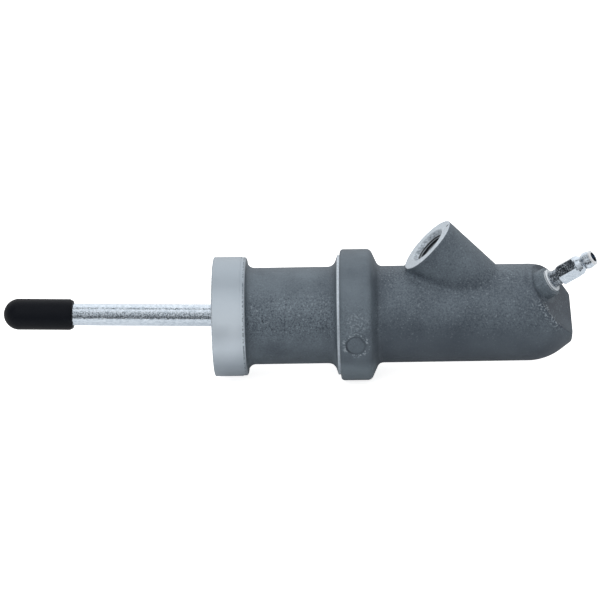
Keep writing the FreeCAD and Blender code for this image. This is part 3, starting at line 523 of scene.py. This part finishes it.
def grazed_edges(tree, along, out):
    """The tool only grazed the skin at the back of the flange and on the rim of its front."""
    back = add(tree, "ShaderNodeMapRange", {"Value": along, "From Min": -34.4 * MM, "From Max": -34.2 * MM})
    rim = add(tree, "ShaderNodeMapRange", {
        "Value": along, "From Min": -33.95 * MM, "From Max": -33.8 * MM, "To Min": 1.0, "To Max": 0.2})
    front = add(tree, "ShaderNodeMapRange", {
        "Value": along, "From Min": FLANGE_FRONT + 0.5 * MM, "From Max": FLANGE_FRONT})
    on_rim = add(tree, "ShaderNodeMapRange", {
        "Value": out, "From Min": 20.6 * MM, "From Max": 21.0 * MM, "To Max": 0.6})
    back = add(tree, "ShaderNodeMath", {0: back, 1: rim}, operation="MULTIPLY")
    front = add(tree, "ShaderNodeMath", {0: front, 1: on_rim}, operation="MULTIPLY")
    return add(tree, "ShaderNodeMath", {0: back, 1: front}, operation="MAXIMUM")


def flange_painted_shade(tree, spot):
    """Painted shade darkens the flange's top, and its underside a little less, leaving a lit band across its
    middle.
    """
    top = add(tree, "ShaderNodeMapRange", {
        "Value": spot["Z"], "From Min": 6 * MM, "From Max": 17 * MM, "To Max": 0.7})
    low = add(tree, "ShaderNodeMapRange", {
        "Value": spot["Z"], "From Min": -4 * MM, "From Max": -12 * MM, "To Max": 0.6})
    flange_shade = add(tree, "ShaderNodeMath", {0: top, 1: low}, operation="ADD")
    on_flange = add(tree, "ShaderNodeMath", {0: spot["X"], 1: FLANGE_REACH}, operation="LESS_THAN")
    return add(tree, "ShaderNodeMath", {0: flange_shade, 1: on_flange}, operation="MULTIPLY")


def port_marks(tree, place, speck):
    """The port's countersink is mottled, painted shade makes its thread black but for the first turn and the
    crests, and one casting pore is open on its face. Gives where that is and its colour."""
    high = distance_along(tree, place, PORT, PORT_OUT)
    wide = distance_off(tree, place, PORT, PORT_OUT)
    sunk = add(tree, "ShaderNodeMapRange", {"Value": high, "From Min": 7.2 * MM, "From Max": 6.8 * MM})
    stain = add(tree, "ShaderNodeMapRange", {
        "Value": speck, "From Min": 0.35, "From Max": 0.65, "To Min": 0.1, "To Max": 0.75})
    stained = add(tree, "ShaderNodeMath", {0: sunk, 1: stain}, operation="MULTIPLY")
    # Painted shade inside the tapped hole, black below its mouth.
    hole_shade = add(tree, "ShaderNodeMapRange", {
        "Value": high, "From Min": 5.95 * MM, "From Max": 5.7 * MM, "To Max": 0.97})
    crest = add(tree, "ShaderNodeMapRange", {
        "Value": wide, "From Min": 5.4 * MM, "From Max": 5.15 * MM, "To Min": 1.0, "To Max": 0.45})
    marks = add(tree, "ShaderNodeMath", {0: hole_shade, 1: stained}, operation="MAXIMUM")
    marks = add(tree, "ShaderNodeMath", {0: marks, 1: crest}, operation="MULTIPLY")
    first_turn = add(tree, "ShaderNodeMath", {0: high, 1: 5.22 * MM, 2: 0.15 * MM}, operation="COMPARE")
    marks = add(tree, "ShaderNodeMath", {0: first_turn, 1: -0.42, 2: marks}, operation="MULTIPLY_ADD")
    inside = add(tree, "ShaderNodeMath", {0: wide, 1: PORT_SINK_RADIUS}, operation="LESS_THAN")
    marks = add(tree, "ShaderNodeMath", {0: marks, 1: inside}, operation="MULTIPLY")
    to_pore = add(tree, "ShaderNodeVectorMath", {0: place, 1: OPEN_PORE}, operation="DISTANCE")
    pore = add(tree, "ShaderNodeMapRange", {"Value": to_pore, "From Min": 0.75 * MM, "From Max": 0.5 * MM})
    marks = add(tree, "ShaderNodeMath", {0: marks, 1: pore}, operation="MAXIMUM")
    colour = add(tree, "ShaderNodeMix", {
        "Factor": hole_shade, UNDER: linear("59636C"), OVER: linear("14181C")}, data_type="RGBA")
    return marks, colour


def ring_marks(tree, place):
    """The ring round the bleed screw is cut, and painted highlight makes it near white; a line of painted
    shade runs round its side. Gives both.
    """
    behind = distance_along(tree, place, BLEED_TIP, -BLEED_OUT)
    wide = distance_off(tree, place, BLEED_TIP, BLEED_OUT)
    # Painted highlight: the ring is drawn near white.
    ring = add(tree, "ShaderNodeMath", {0: wide, 1: 4.4 * MM}, operation="LESS_THAN")
    ring = add(tree, "ShaderNodeMath", {0: ring, 1: 0.6}, operation="MULTIPLY")
    # Painted shade line round the ring's side.
    ring_shade_line = add(tree, "ShaderNodeMath", {0: behind, 1: 17.85 * MM, 2: 0.17 * MM}, operation="COMPARE")
    return ring, add(tree, "ShaderNodeMath", {0: ring_shade_line, 1: ring}, operation="MULTIPLY")


def turned_iron(look):
    """Iron cut on a lathe and left bare: pale blue-grey, with fine feed rings, a few open pores and a band
    of skin that the tool only grazed at the back of the flange. Painted shade darkens the flange's top and
    underside and the port's thread, and painted highlight whitens the bleed screw's ring."""
    made, tree = blank_material("turned_grey_iron")
    place = add(tree, "ShaderNodeTexCoord").outputs["Object"]
    spot = add(tree, "ShaderNodeSeparateXYZ", {"Vector": place}).outputs
    out = distance_off(tree, place, CENTRE, BORE)
    patch = add(tree, "ShaderNodeTexNoise", {"Vector": place, "Scale": per_metre(9.0), "Detail": 3.0})
    speck = add(tree, "ShaderNodeTexNoise", {"Vector": place, "Scale": per_metre(0.8), "Detail": 3.0})
    pore = add(tree, "ShaderNodeTexVoronoi", {"Vector": place, "Scale": per_metre(9.0)})
    tone = add(tree, "ShaderNodeMapRange", {"Value": patch, "From Min": 0.3, "From Max": 0.7})
    skin = add(tree, "ShaderNodeMapRange", {
        "Value": speck, "From Min": 0.42, "From Max": 0.52, "To Max": 0.85})
    skin = add(tree, "ShaderNodeMath", {
        0: skin, 1: grazed_edges(tree, spot["X"], out)}, operation="MULTIPLY")
    open_pore = add(tree, "ShaderNodeMapRange", {
        "Value": pore, "From Min": 0.055, "From Max": 0.035, "To Max": 0.7})
    in_port, port_colour = port_marks(tree, place, speck)
    ring, ring_shade_line = ring_marks(tree, place)
    metal = linear("C6D0D9")
    # Layers: tone, painted shade on the flange, grazed skin, open pores, the port's marks with painted shade
    # in its hole, painted highlight on the screw's ring, then a painted shade line round it.
    for cover, colour in (
            (tone, look.cut_metal), (flange_painted_shade(tree, spot), linear("8C97A1")), (skin, linear("66717A")),
            (open_pore, linear("4A535B")), (in_port, port_colour), (ring, linear("EEF3F7")),
            (ring_shade_line, linear("39414A"))):
        metal = add(tree, "ShaderNodeMix", {"Factor": cover, UNDER: metal, OVER: colour}, data_type="RGBA")
    feed = {"Vector": place, "Scale": WAVE / look.feed, "Distortion": 0.6, "Detail": 1.0}
    lines = add(tree, "ShaderNodeTexWave", feed, bands_direction="X").outputs["Fac"]
    rings = add(tree, "ShaderNodeTexWave", feed, wave_type="RINGS", rings_direction="X").outputs["Fac"]
    marks = add(tree, "ShaderNodeMath", {0: lines, 1: rings}, operation="ADD")
    height = add(tree, "ShaderNodeMath", {0: speck, 1: 1.5, 2: marks}, operation="MULTIPLY_ADD")
    return coated(made, {
        "Base Color": metal, "Metallic": 0.4,
        "Roughness": add(tree, "ShaderNodeMapRange", {"Value": patch, "To Min": 0.38, "To Max": 0.52}),
        "Normal": add(tree, "ShaderNodeBump", {"Strength": 0.12, "Distance": 0.05 * MM, "Height": height})})


# Zinc plating


def painted_rod_reflection(tree, place, speck):
    """A speckled dark band painted along the rod's upper flank stands for a reflection; it falls with the
    rod's lean.
    """
    spot = add(tree, "ShaderNodeSeparateXYZ", {"Vector": place}).outputs
    above = add(tree, "ShaderNodeMath", {0: spot["X"], 1: 0.0208, 2: spot["Z"]}, operation="MULTIPLY_ADD")
    lower = add(tree, "ShaderNodeMapRange", {"Value": above, "From Min": -0.5 * MM, "From Max": 0.2 * MM})
    upper = add(tree, "ShaderNodeMapRange", {"Value": above, "From Min": 2.3 * MM, "From Max": 1.5 * MM})
    on_rod = add(tree, "ShaderNodeMath", {0: spot["X"], 1: 0.0}, operation="LESS_THAN")
    # Speckled dark band painted as a reflection.
    reflection_band = add(tree, "ShaderNodeMapRange", {
        "Value": speck, "From Min": 0.52, "From Max": 0.4, "To Max": 0.8})
    for limit in (lower, upper, on_rod):
        reflection_band = add(tree, "ShaderNodeMath", {0: reflection_band, 1: limit}, operation="MULTIPLY")
    return reflection_band


def painted_shank_reflection(tree, behind, wide, speck):
    """Painted dark reflection of the casting on the screw's shank, between casting and hexagon, and duller
    there.
    """
    shank_reflection = add(tree, "ShaderNodeMath", {0: wide, 1: SHANK_RADIUS}, operation="LESS_THAN")
    shank = add(tree, "ShaderNodeMapRange", {
        "Value": behind, "From Min": SCREW_SHANK - 0.2 * MM, "From Max": SCREW_SHANK + 0.2 * MM})
    patchiness = add(tree, "ShaderNodeMapRange", {
        "Value": speck, "From Min": 0.6, "From Max": 0.45, "To Min": 0.35, "To Max": 0.9})
    for limit in (shank, patchiness):
        shank_reflection = add(tree, "ShaderNodeMath", {0: shank_reflection, 1: limit}, operation="MULTIPLY")
    return shank_reflection


def bright_zinc(look):
    """Steel, barrel-plated with bright zinc: a mirror broken up by small drawn-out patches, so reflections
    run along the rod with ragged edges. A speckled dark band painted on the rod stands for a reflection; the
    screw has a painted dark reflection on its shank, a dull bloom in patches and a painted highlight on its
    end rim."""
    made, tree = blank_material("bright_zinc_on_steel")
    place = add(tree, "ShaderNodeTexCoord").outputs["Object"]
    behind = distance_along(tree, place, BLEED_TIP, -BLEED_OUT)
    wide = distance_off(tree, place, BLEED_TIP, BLEED_OUT)
    drawn = add(tree, "ShaderNodeMapping", {"Vector": place, "Scale": (0.65, 1.0, 1.0)})
    patch = add(tree, "ShaderNodeTexNoise", {
        "Vector": drawn, "Scale": per_metre(look.mottle / MM), "Detail": 4.0, "Roughness": 0.62})
    speck = add(tree, "ShaderNodeTexNoise", {"Vector": place, "Scale": per_metre(0.45), "Detail": 1.0})
    tone = add(tree, "ShaderNodeMapRange", {"Value": patch, "From Min": 0.32, "From Max": 0.62})
    # Painted dark reflection on the screw's shank.
    shank_reflection = painted_shank_reflection(tree, behind, wide, speck)
    in_screw = add(tree, "ShaderNodeMath", {0: wide, 1: SCREW_RADIUS}, operation="LESS_THAN")
    outside = add(tree, "ShaderNodeMath", {0: wide, 1: OUTLET_RADIUS}, operation="GREATER_THAN")
    # Painted highlight round the screw's outlet.
    rim_highlight = add(tree, "ShaderNodeMapRange", {
        "Value": behind, "From Min": SCREW_RIM + 0.1 * MM, "From Max": SCREW_RIM - 0.1 * MM})
    for limit in (outside, in_screw):
        rim_highlight = add(tree, "ShaderNodeMath", {0: rim_highlight, 1: limit}, operation="MULTIPLY")
    metal = linear("BBC7D3")
    # Layers: mottle, painted reflection band on the rod, painted dark reflection on the shank, painted
    # highlight on the screw's rim.
    for cover, colour in (
            (tone, look.zinc), (painted_rod_reflection(tree, place, speck), linear("737E88")),
            (shank_reflection, linear("4B545D")), (rim_highlight, linear("F6F9FC"))):
        metal = add(tree, "ShaderNodeMix", {"Factor": cover, UNDER: metal, OVER: colour}, data_type="RGBA")
    rough = add(tree, "ShaderNodeMapRange", {
        "Value": patch, "From Min": 0.3, "From Max": 0.7, "To Min": 0.15, "To Max": 0.07})
    for duller, much in ((shank_reflection, 0.3), (rim_highlight, 0.5)):
        rough = add(tree, "ShaderNodeMath", {0: duller, 1: much, 2: rough}, operation="MULTIPLY_ADD")
    bloom = add(tree, "ShaderNodeMapRange", {
        "Value": speck, "From Min": 0.48, "From Max": 0.62, "To Min": 0.04, "To Max": 0.4})
    gathered = add(tree, "ShaderNodeMapRange", {
        "Value": patch, "From Min": 0.46, "From Max": 0.58, "To Min": 0.15})
    for limit in (in_screw, outside, gathered):
        bloom = add(tree, "ShaderNodeMath", {0: bloom, 1: limit}, operation="MULTIPLY")
    height = add(tree, "ShaderNodeMath", {0: speck, 1: 1.0, 2: patch}, operation="MULTIPLY_ADD")
    return coated(made, {
        "Base Color": metal, "Roughness": rough,
        "Metallic": add(tree, "ShaderNodeMath", {0: 1.0, 1: bloom}, operation="SUBTRACT"),
        "Normal": add(tree, "ShaderNodeBump", {"Strength": 0.7, "Distance": 0.1 * MM, "Height": height})})


# Soft and inner materials


def dipped_vinyl(look):
    """Soft PVC, dipped: near black and satin, with a faint orange peel and a little handling dust."""
    made, tree = blank_material("dipped_black_vinyl")
    place = add(tree, "ShaderNodeTexCoord").outputs["Object"]
    peel = add(tree, "ShaderNodeTexNoise", {"Vector": place, "Scale": per_metre(1.6), "Detail": 2.0})
    patch = add(tree, "ShaderNodeTexNoise", {"Vector": place, "Scale": per_metre(7.0), "Detail": 4.0})
    dusty = add(tree, "ShaderNodeMapRange", {
        "Value": patch, "From Min": 0.5, "From Max": 0.75, "To Max": 0.06})
    return coated(made, {
        "Base Color": add(tree, "ShaderNodeMix", {
            "Factor": dusty, UNDER: look.vinyl, OVER: linear("5A6068")}, data_type="RGBA"),
        "IOR": 1.5, "Specular IOR Level": 0.12,
        "Roughness": add(tree, "ShaderNodeMapRange", {"Value": patch, "To Min": 0.42, "To Max": 0.62}),
        "Normal": add(tree, "ShaderNodeBump", {"Strength": 0.12, "Distance": 0.06 * MM, "Height": peel})})


def moulded_rubber(look):
    """EPDM rubber from a mould: dark charcoal and dull, with a fine grain and a grey bloom in patches."""
    made, tree = blank_material("moulded_black_rubber")
    place = add(tree, "ShaderNodeTexCoord").outputs["Object"]
    grain = add(tree, "ShaderNodeTexNoise", {"Vector": place, "Scale": per_metre(0.5), "Detail": 2.0})
    bloom = add(tree, "ShaderNodeTexNoise", {"Vector": place, "Scale": per_metre(5.0), "Detail": 3.0})
    haze = add(tree, "ShaderNodeMapRange", {
        "Value": bloom, "From Min": 0.45, "From Max": 0.75, "To Max": 0.3})
    return coated(made, {
        "Base Color": add(tree, "ShaderNodeMix", {
            "Factor": haze, UNDER: look.rubber, OVER: linear("4C5054")}, data_type="RGBA"),
        "Roughness": add(tree, "ShaderNodeMapRange", {"Value": grain, "To Min": 0.55, "To Max": 0.8}),
        "Normal": add(tree, "ShaderNodeBump", {"Strength": 0.3, "Distance": 0.05 * MM, "Height": grain})})


def turned_aluminium():
    """Aluminium bar turned to size: light silver, with close feed rings round its axis."""
    made, tree = blank_material("turned_aluminium")
    place = add(tree, "ShaderNodeTexCoord").outputs["Object"]
    # Real feed is 0.1 mm; it is drawn at 0.4 mm so that it shows.
    rings = add(tree, "ShaderNodeTexWave", {
        "Vector": place, "Scale": WAVE / (0.4 * MM), "Distortion": 0.4}, bands_direction="X").outputs["Fac"]
    return coated(made, {
        "Base Color": add(tree, "ShaderNodeMix", {
            "Factor": rings, UNDER: linear("A9ADB1"), OVER: linear("CFD3D6")}, data_type="RGBA"),
        "Metallic": 1.0, "Roughness": 0.32,
        "Normal": add(tree, "ShaderNodeBump", {"Strength": 0.2, "Distance": 0.03 * MM, "Height": rings})})


def oiled_spring_steel():
    """Hardened wire and strip with an oil film: dark brown-grey, half glossy, lighter where it is rubbed."""
    made, tree = blank_material("oiled_spring_steel")
    place = add(tree, "ShaderNodeTexCoord").outputs["Object"]
    patchiness = add(tree, "ShaderNodeTexNoise", {"Vector": place, "Scale": per_metre(2.2), "Detail": 4.0})
    return coated(made, {
        "Base Color": add(tree, "ShaderNodeMix", {
            "Factor": patchiness, UNDER: linear("33363A"), OVER: linear("7B7F83")}, data_type="RGBA"),
        "Metallic": 1.0,
        "Roughness": add(tree, "ShaderNodeMapRange", {"Value": patchiness, "To Min": 0.28, "To Max": 0.5})})


# Pieces


def is_machined(centre):
    """Whether a spot on the casting's surface was cut: flange, land, bore, port and bleed hole."""
    radius = math.hypot(centre.y, centre.z)
    if centre.x < LAND_END or (radius > RIM_RADIUS and centre.x < FLANGE_BACK):
        return True
    if radius < MOUTH_RADIUS and centre.x < BORE_END:
        return True
    inner, outer = COLLAR_LAND_RADII
    if COLLAR_LAND[0] < centre.x < COLLAR_LAND[1] and inner < radius < outer:
        return True
    high = (centre - PORT).dot(PORT_OUT)
    wide = ((centre - PORT) - high * PORT_OUT).length
    if wide < PORT_FACE_RADIUS and abs(high - PORT_FACE) < 0.04 * MM:
        return True
    if wide < PORT_SINK_RADIUS and high > PORT_DRILLED:
        return True
    deep = (BLEED_TIP - centre).dot(BLEED_OUT)
    wide = ((centre - BLEED_TIP) + deep * BLEED_OUT).length
    return wide < RING_RADIUS and RING_TOP < deep < BLEED_HOLE_END


class CYLINDER_OT_cast_body(bpy.types.Operator):
    """Cast body with its raw skin and its machined faces"""

    bl_idname = "cylinder.cast_body"
    bl_label = "Cast Body"

    def execute(self, context):
        look = context.scene.cylinder_casting_look
        body = welded_copy("cylinder_casting", "cast_body", sand_cast_iron(look), turned_iron(look))
        for face in body.data.polygons:
            face.material_index = int(is_machined(face.center))
        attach(body, "cylinder")
        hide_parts("cylinder_casting")
        return {"FINISHED"}


def thread_tree():
    """Node tree that winds a sharp ridge round +Z."""
    tree = bpy.data.node_groups.new("cut_thread", "GeometryNodeTree")
    for name in ("Turns", "Radius", "Length", "Depth"):
        tree.interface.new_socket(name, in_out="INPUT", socket_type="NodeSocketFloat")
    tree.interface.new_socket("Finish", in_out="INPUT", socket_type="NodeSocketMaterial")
    tree.interface.new_socket("Geometry", in_out="OUTPUT", socket_type="NodeSocketGeometry")
    given = add(tree, "NodeGroupInput").outputs
    coil = add(tree, "GeometryNodeCurveSpiral", {
        "Resolution": 48, "Rotations": given["Turns"], "Start Radius": given["Radius"],
        "End Radius": given["Radius"], "Height": given["Length"]})
    upright = add(tree, "GeometryNodeSetCurveNormal", {"Curve": coil}, mode="Z_UP")
    ridge = add(tree, "GeometryNodeCurvePrimitiveCircle", {"Resolution": 4, "Radius": given["Depth"]})
    swept = add(tree, "GeometryNodeCurveToMesh", {
        "Curve": upright, "Profile Curve": ridge, "Fill Caps": True})
    real = add(tree, "GeometryNodeRealizeInstances", {"Geometry": swept})
    finished = add(tree, "GeometryNodeSetMaterial", {"Geometry": real, "Material": given["Finish"]})
    add(tree, "NodeGroupOutput", {"Geometry": finished})
    return tree


def wind_thread(name, tree, start, direction, values):
    """Winds one thread on a line and returns it as a plain piece."""
    holder = new_piece(name + "_holder", bpy.data.meshes.new(name + "_holder"))
    modifier = holder.modifiers.new("thread", "NODES")
    modifier.node_group = tree
    for item in tree.interface.items_tree:
        if item.in_out == "INPUT":
            modifier[item.identifier] = values[item.name]
    graph = bpy.context.evaluated_depsgraph_get()
    made = bpy.data.meshes.new_from_object(holder.evaluated_get(graph))
    made.name = name
    bpy.data.objects.remove(holder)
    turn = direction.to_track_quat("Z", "Y").to_matrix().to_4x4()
    made.transform(Matrix.Translation(start) @ turn)
    return new_piece(name, made)


class CYLINDER_OT_thread(bpy.types.Operator):
    """Thread of the fluid port"""

    bl_idname = "cylinder.thread"
    bl_label = "Port Thread"

    def execute(self, context):
        sizes = context.scene.cylinder_thread_sizes
        # It runs from the bottom of the tapped hole up to the countersink.
        thread = wind_thread("port_thread", thread_tree(), PORT + PORT_OUT * THREAD_BOTTOM, PORT_OUT, {
            "Turns": THREAD_LENGTH / sizes.pitch, "Radius": MOUNTS["fluid_port"]["dims"]["r_mm"] * MM,
            "Length": THREAD_LENGTH, "Depth": sizes.depth,
            "Finish": bpy.data.materials["turned_grey_iron"]})
        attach(thread, "cylinder")
        return {"FINISHED"}


class CYLINDER_OT_plated_parts(bpy.types.Operator):
    """Zinc plating of the push rod, the bleed screw and the boot's ring"""

    bl_idname = "cylinder.plated_parts"
    bl_label = "Plated Parts"

    def execute(self, context):
        zinc = bright_zinc(context.scene.cylinder_rod_look)
        for node in ("push_rod", "bleeder_screw", "boot_ring", "cup_washer", "stop_washer", "spring_seat"):
            dress(node, zinc)
        return {"FINISHED"}


class CYLINDER_OT_rod_cap(bpy.types.Operator):
    """Soft cap on the end of the push rod"""

    bl_idname = "cylinder.rod_cap"
    bl_label = "Rod Cap"

    def execute(self, context):
        look = context.scene.cylinder_rod_look
        cap = welded_copy("rod_end_cap", "soft_rod_cap", dipped_vinyl(look))
        # Its outside is uneven; the wall of its hole fits the rod and stays as it is.
        hole_wall, hole_end, round_end, swell = 4.4 * MM, 97.4 * MM, 94 * MM, 6 * MM
        for vertex in cap.data.vertices:
            along = (vertex.co - BALL).dot(ROD_OUT)
            spoke = vertex.co - BALL - along * ROD_OUT
            if spoke.length > hole_wall or along > hole_end:
                dip = 0.5 + 0.5 * noise.noise(vertex.co / swell)
                inwards = spoke if along < round_end else vertex.co - (BALL + ROD_OUT * round_end)
                vertex.co -= inwards.normalized() * look.sag * dip
        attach(cap, "rod_cap")
        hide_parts("rod_end_cap")
        return {"FINISHED"}


class CYLINDER_OT_dust_boot(bpy.types.Operator):
    """Rubber bellows in the mouth and its lip on the rod"""

    bl_idname = "cylinder.dust_boot"
    bl_label = "Dust Boot"

    def execute(self, context):
        look = context.scene.cylinder_boot_look
        rubber = moulded_rubber(look)
        folds = eased([
            (-44.0, 15.4), (-44.0, 12.5), (-42.9, 12.5), (-42.9, 9.9), (-41.2, 5.8), (-40.3, 5.8),
            (-39.05, 8.7), (-37.8, 5.2), (-36.9, 5.2), (-38.5, 9.9), (-39.5, 9.9), (-40.75, 7.0),
            (-42.0, 9.9), (-42.0, 12.5), (-41.2, 12.5), (-41.2, 15.4)], 2)
        bellows = new_piece("boot_bellows", moulded("boot_bellows", folds, CENTRE, BORE, look.steps), rubber)
        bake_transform(bellows)
        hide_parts("dust_boot")
        bead = eased([
            (12.8, 4.06), (12.8, 5.3), (14.4, 5.6), (14.7, 4.6), (15.7, 4.6), (15.9, 6.1), (16.6, 5.7),
            (17.0, 4.06)], 2)
        lip = new_piece("boot_lip", moulded("boot_lip", bead, BALL, ROD_OUT, look.steps), rubber)
        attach(lip, "rod")
        for node in ("piston_ring_seal", "primary_cup"):
            dress(node, rubber)
        return {"FINISHED"}


class CYLINDER_OT_inner_parts(bpy.types.Operator):
    """Piston, spring and clips inside the bore"""

    bl_idname = "cylinder.inner_parts"
    bl_label = "Inner Parts"

    def execute(self, context):
        dress("piston", turned_aluminium())
        steel = oiled_spring_steel()
        for node in ("snap_ring", "rod_clip"):
            dress(node, steel)
        spring = welded_copy("return_spring", "coil_spring", steel)
        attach(spring, "cylinder")
        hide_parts("return_spring")
        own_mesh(spring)
        return {"FINISHED"}


# Studio


def white_floor():
    """Seamless white paper. Only the picture and mirrors see it at full white; the parts get less light."""
    made, tree = blank_material("white_paper")
    path = add(tree, "ShaderNodeLightPath").outputs
    seen = add(tree, "ShaderNodeMath", {
        0: path["Is Camera Ray"], 1: path["Is Glossy Ray"]}, operation="MAXIMUM")
    dull = add(tree, "ShaderNodeBsdfDiffuse", {"Color": linear("9A9EA2")})
    paper = add(tree, "ShaderNodeBsdfDiffuse", {"Color": linear("F4F4F4")})
    glow = add(tree, "ShaderNodeMapRange", {"Value": path["Is Camera Ray"], "To Max": 0.8})
    lift = add(tree, "ShaderNodeEmission", {"Color": (1, 1, 1, 1), "Strength": glow})
    white = add(tree, "ShaderNodeAddShader", {0: paper, 1: lift})
    floor = add(tree, "ShaderNodeMixShader", {0: seen, 1: dull, 2: white})
    add(tree, "ShaderNodeOutputMaterial", {"Surface": floor})
    return made


def black_card():
    """Matt black board that only mirrors see: it gives plated metal its dark line."""
    made, _ = blank_material("black_board")
    return coated(made, {"Base Color": linear("23282E"), "Roughness": 0.9})


def panel(name, corners, material):
    """A flat four-cornered stage board."""
    mesh = bpy.data.meshes.new(name)
    mesh.from_pydata(corners, [], [(0, 1, 2, 3)])
    board = new_piece(name, mesh, material)
    return board


def level_corners(half_width, front, back, height):
    """Corners of a level board that reaches equally far to the left and to the right."""
    return [(-half_width, front, height), (half_width, front, height),
            (half_width, back, height), (-half_width, back, height)]


def mirror_cards(floor_height):
    """Boards below, above and to the left, which only mirrors see."""
    card = black_card()
    near = panel("card_near", level_corners(0.6, -0.40, -0.07, floor_height + MM), card)
    above = panel("card_above", level_corners(0.6, -0.03, 0.05, 0.5), card)
    # Across the path along which the hexagon's front flat mirrors the room.
    left = panel("card_left", [
        (-0.36, -0.30, 0.12), (-0.36, 0.04, 0.12), (-0.30, 0.04, 0.42), (-0.30, -0.30, 0.42)], card)
    for board in (near, above, left):
        board.visible_camera = False
        board.visible_diffuse = False
        board.visible_shadow = False


def key_lamp(power):
    """A square soft box above the front, aimed at the cylinder. Mirrors don't see it."""
    data = bpy.data.lights.new("key_box", "AREA")
    data.shape = "SQUARE"
    data.size = 0.7
    data.energy = power
    made = bpy.data.objects.new("key_box", data)
    made.location = (-0.25, -0.72, 0.62)
    made.rotation_euler = (made.location - CENTRE).to_track_quat("Z", "Y").to_euler()
    made.visible_glossy = False
    bpy.context.scene.collection.objects.link(made)


def white_room():
    """Light from all round. Metal mirrors a room that is dark at the horizon and light above and beyond."""
    world = bpy.data.worlds.new("white_room")
    world.use_nodes = True
    tree = world.node_tree
    tree.nodes.clear()
    path = add(tree, "ShaderNodeLightPath").outputs
    way = add(tree, "ShaderNodeTexCoord").outputs["Generated"]
    way = add(tree, "ShaderNodeSeparateXYZ", {"Vector": way}).outputs
    rise = add(tree, "ShaderNodeMapRange", {
        "Value": way["Z"], "From Min": -0.1, "From Max": 0.8, "To Min": 0.34, "To Max": 0.95})
    mirrored = add(tree, "ShaderNodeMapRange", {
        "Value": way["Z"], "From Min": 0.04, "From Max": 0.3, "To Min": 0.08, "To Max": 0.66})
    overhead = add(tree, "ShaderNodeMapRange", {
        "Value": way["Z"], "From Min": 0.66, "From Max": 0.9, "To Max": 0.42})
    beyond = add(tree, "ShaderNodeMapRange", {
        "Value": way["Y"], "From Min": 0.3, "From Max": 0.9, "To Max": 0.6})
    for glow in (overhead, beyond):
        mirrored = add(tree, "ShaderNodeMath", {0: mirrored, 1: glow}, operation="ADD")
    lit = add(tree, "ShaderNodeMix", {"Factor": path["Is Glossy Ray"], 2: rise, 3: mirrored})
    level = add(tree, "ShaderNodeMix", {"Factor": path["Is Camera Ray"], 2: lit, 3: 1.0})
    room = add(tree, "ShaderNodeBackground", {"Color": (1, 1, 1, 1), "Strength": level})
    add(tree, "ShaderNodeOutputWorld", {"Surface": room})
    return world


def photo_camera(look):
    """Camera in front of the cylinder, a little above it and rolled, as the picture was taken."""
    up = Vector((0.0, math.sin(look.height), math.cos(look.height)))
    away = Vector((0.0, -math.cos(look.height), math.sin(look.height)))
    # It stands right of the part's middle and looks a little to the left.
    place = BORE * 17.64 * MM + away * look.distance + up * 5.5 * MM
    aim = BORE * -14.5 * MM + up * 5.55 * MM
    back = (place - aim).normalized()
    right = up.cross(back).normalized()
    rolled_right = right * math.cos(look.roll) - up * math.sin(look.roll)
    rolled_up = right * math.sin(look.roll) + up * math.cos(look.roll)
    data = bpy.data.cameras.new("camera")
    data.sensor_width = 36.0
    data.lens = data.sensor_width * look.distance / look.width
    camera = bpy.data.objects.new("camera", data)
    camera.matrix_world = Matrix((rolled_right, rolled_up, back)).transposed().to_4x4()
    camera.location = place
    bpy.context.scene.collection.objects.link(camera)
    return camera


class CYLINDER_OT_studio(bpy.types.Operator):
    """White floor, soft lamp, black cards and the camera"""

    bl_idname = "cylinder.studio"
    bl_label = "Studio"

    def execute(self, context):
        look = context.scene.cylinder_studio_look
        floor_height = CAD_BOX[0][2] - 0.05 * MM
        panel("paper_floor", level_corners(3, -3, 3, floor_height), white_floor())
        mirror_cards(floor_height)
        key_lamp(look.key)
        context.scene.world = white_room()
        context.scene.camera = photo_camera(look)
        context.scene.view_settings.view_transform = "Standard"
        return {"FINISHED"}


# Add-on


class CYLINDER_PT_panel(bpy.types.Panel):
    """Lists the looks and the steps of the cylinder"""

    bl_idname = "CYLINDER_PT_panel"
    bl_label = "Clutch Slave Cylinder"
    bl_space_type = "VIEW_3D"
    bl_region_type = "UI"
    bl_category = "Cylinder"

    def draw(self, context):
        for title, group in LOOKS.items():
            box = self.layout.box()
            box.label(text=group.__doc__)
            look = getattr(context.scene, title)
            for name in group.__annotations__:
                box.prop(look, name)
        for step in STEPS:
            self.layout.operator(step.bl_idname)


LOOKS = {
    "cylinder_casting_look": CastingLook,
    "cylinder_rod_look": RodLook,
    "cylinder_boot_look": BootLook,
    "cylinder_thread_sizes": ThreadSizes,
    "cylinder_studio_look": StudioLook,
}

STEPS = (
    CYLINDER_OT_cast_body,
    CYLINDER_OT_plated_parts,
    CYLINDER_OT_thread,
    CYLINDER_OT_rod_cap,
    CYLINDER_OT_dust_boot,
    CYLINDER_OT_inner_parts,
    CYLINDER_OT_studio,
)


def register():
    for group in LOOKS.values():
        bpy.utils.register_class(group)
    for title, group in LOOKS.items():
        setattr(bpy.types.Scene, title, bpy.props.PointerProperty(type=group))
    for step in STEPS:
        bpy.utils.register_class(step)
    bpy.utils.register_class(CYLINDER_PT_panel)


def unregister():
    bpy.utils.unregister_class(CYLINDER_PT_panel)
    for step in reversed(STEPS):
        bpy.utils.unregister_class(step)
    for title in LOOKS:
        delattr(bpy.types.Scene, title)
    for group in reversed(LOOKS.values()):
        bpy.utils.unregister_class(group)


def main():
    register()
    bpy.ops.cylinder.cast_body()
    bpy.ops.cylinder.plated_parts()
    bpy.ops.cylinder.thread()
    bpy.ops.cylinder.rod_cap()
    bpy.ops.cylinder.dust_boot()
    bpy.ops.cylinder.inner_parts()
    bpy.ops.cylinder.studio()
    bpy.context.view_layer.update()


if __name__ == "__main__":
    main()
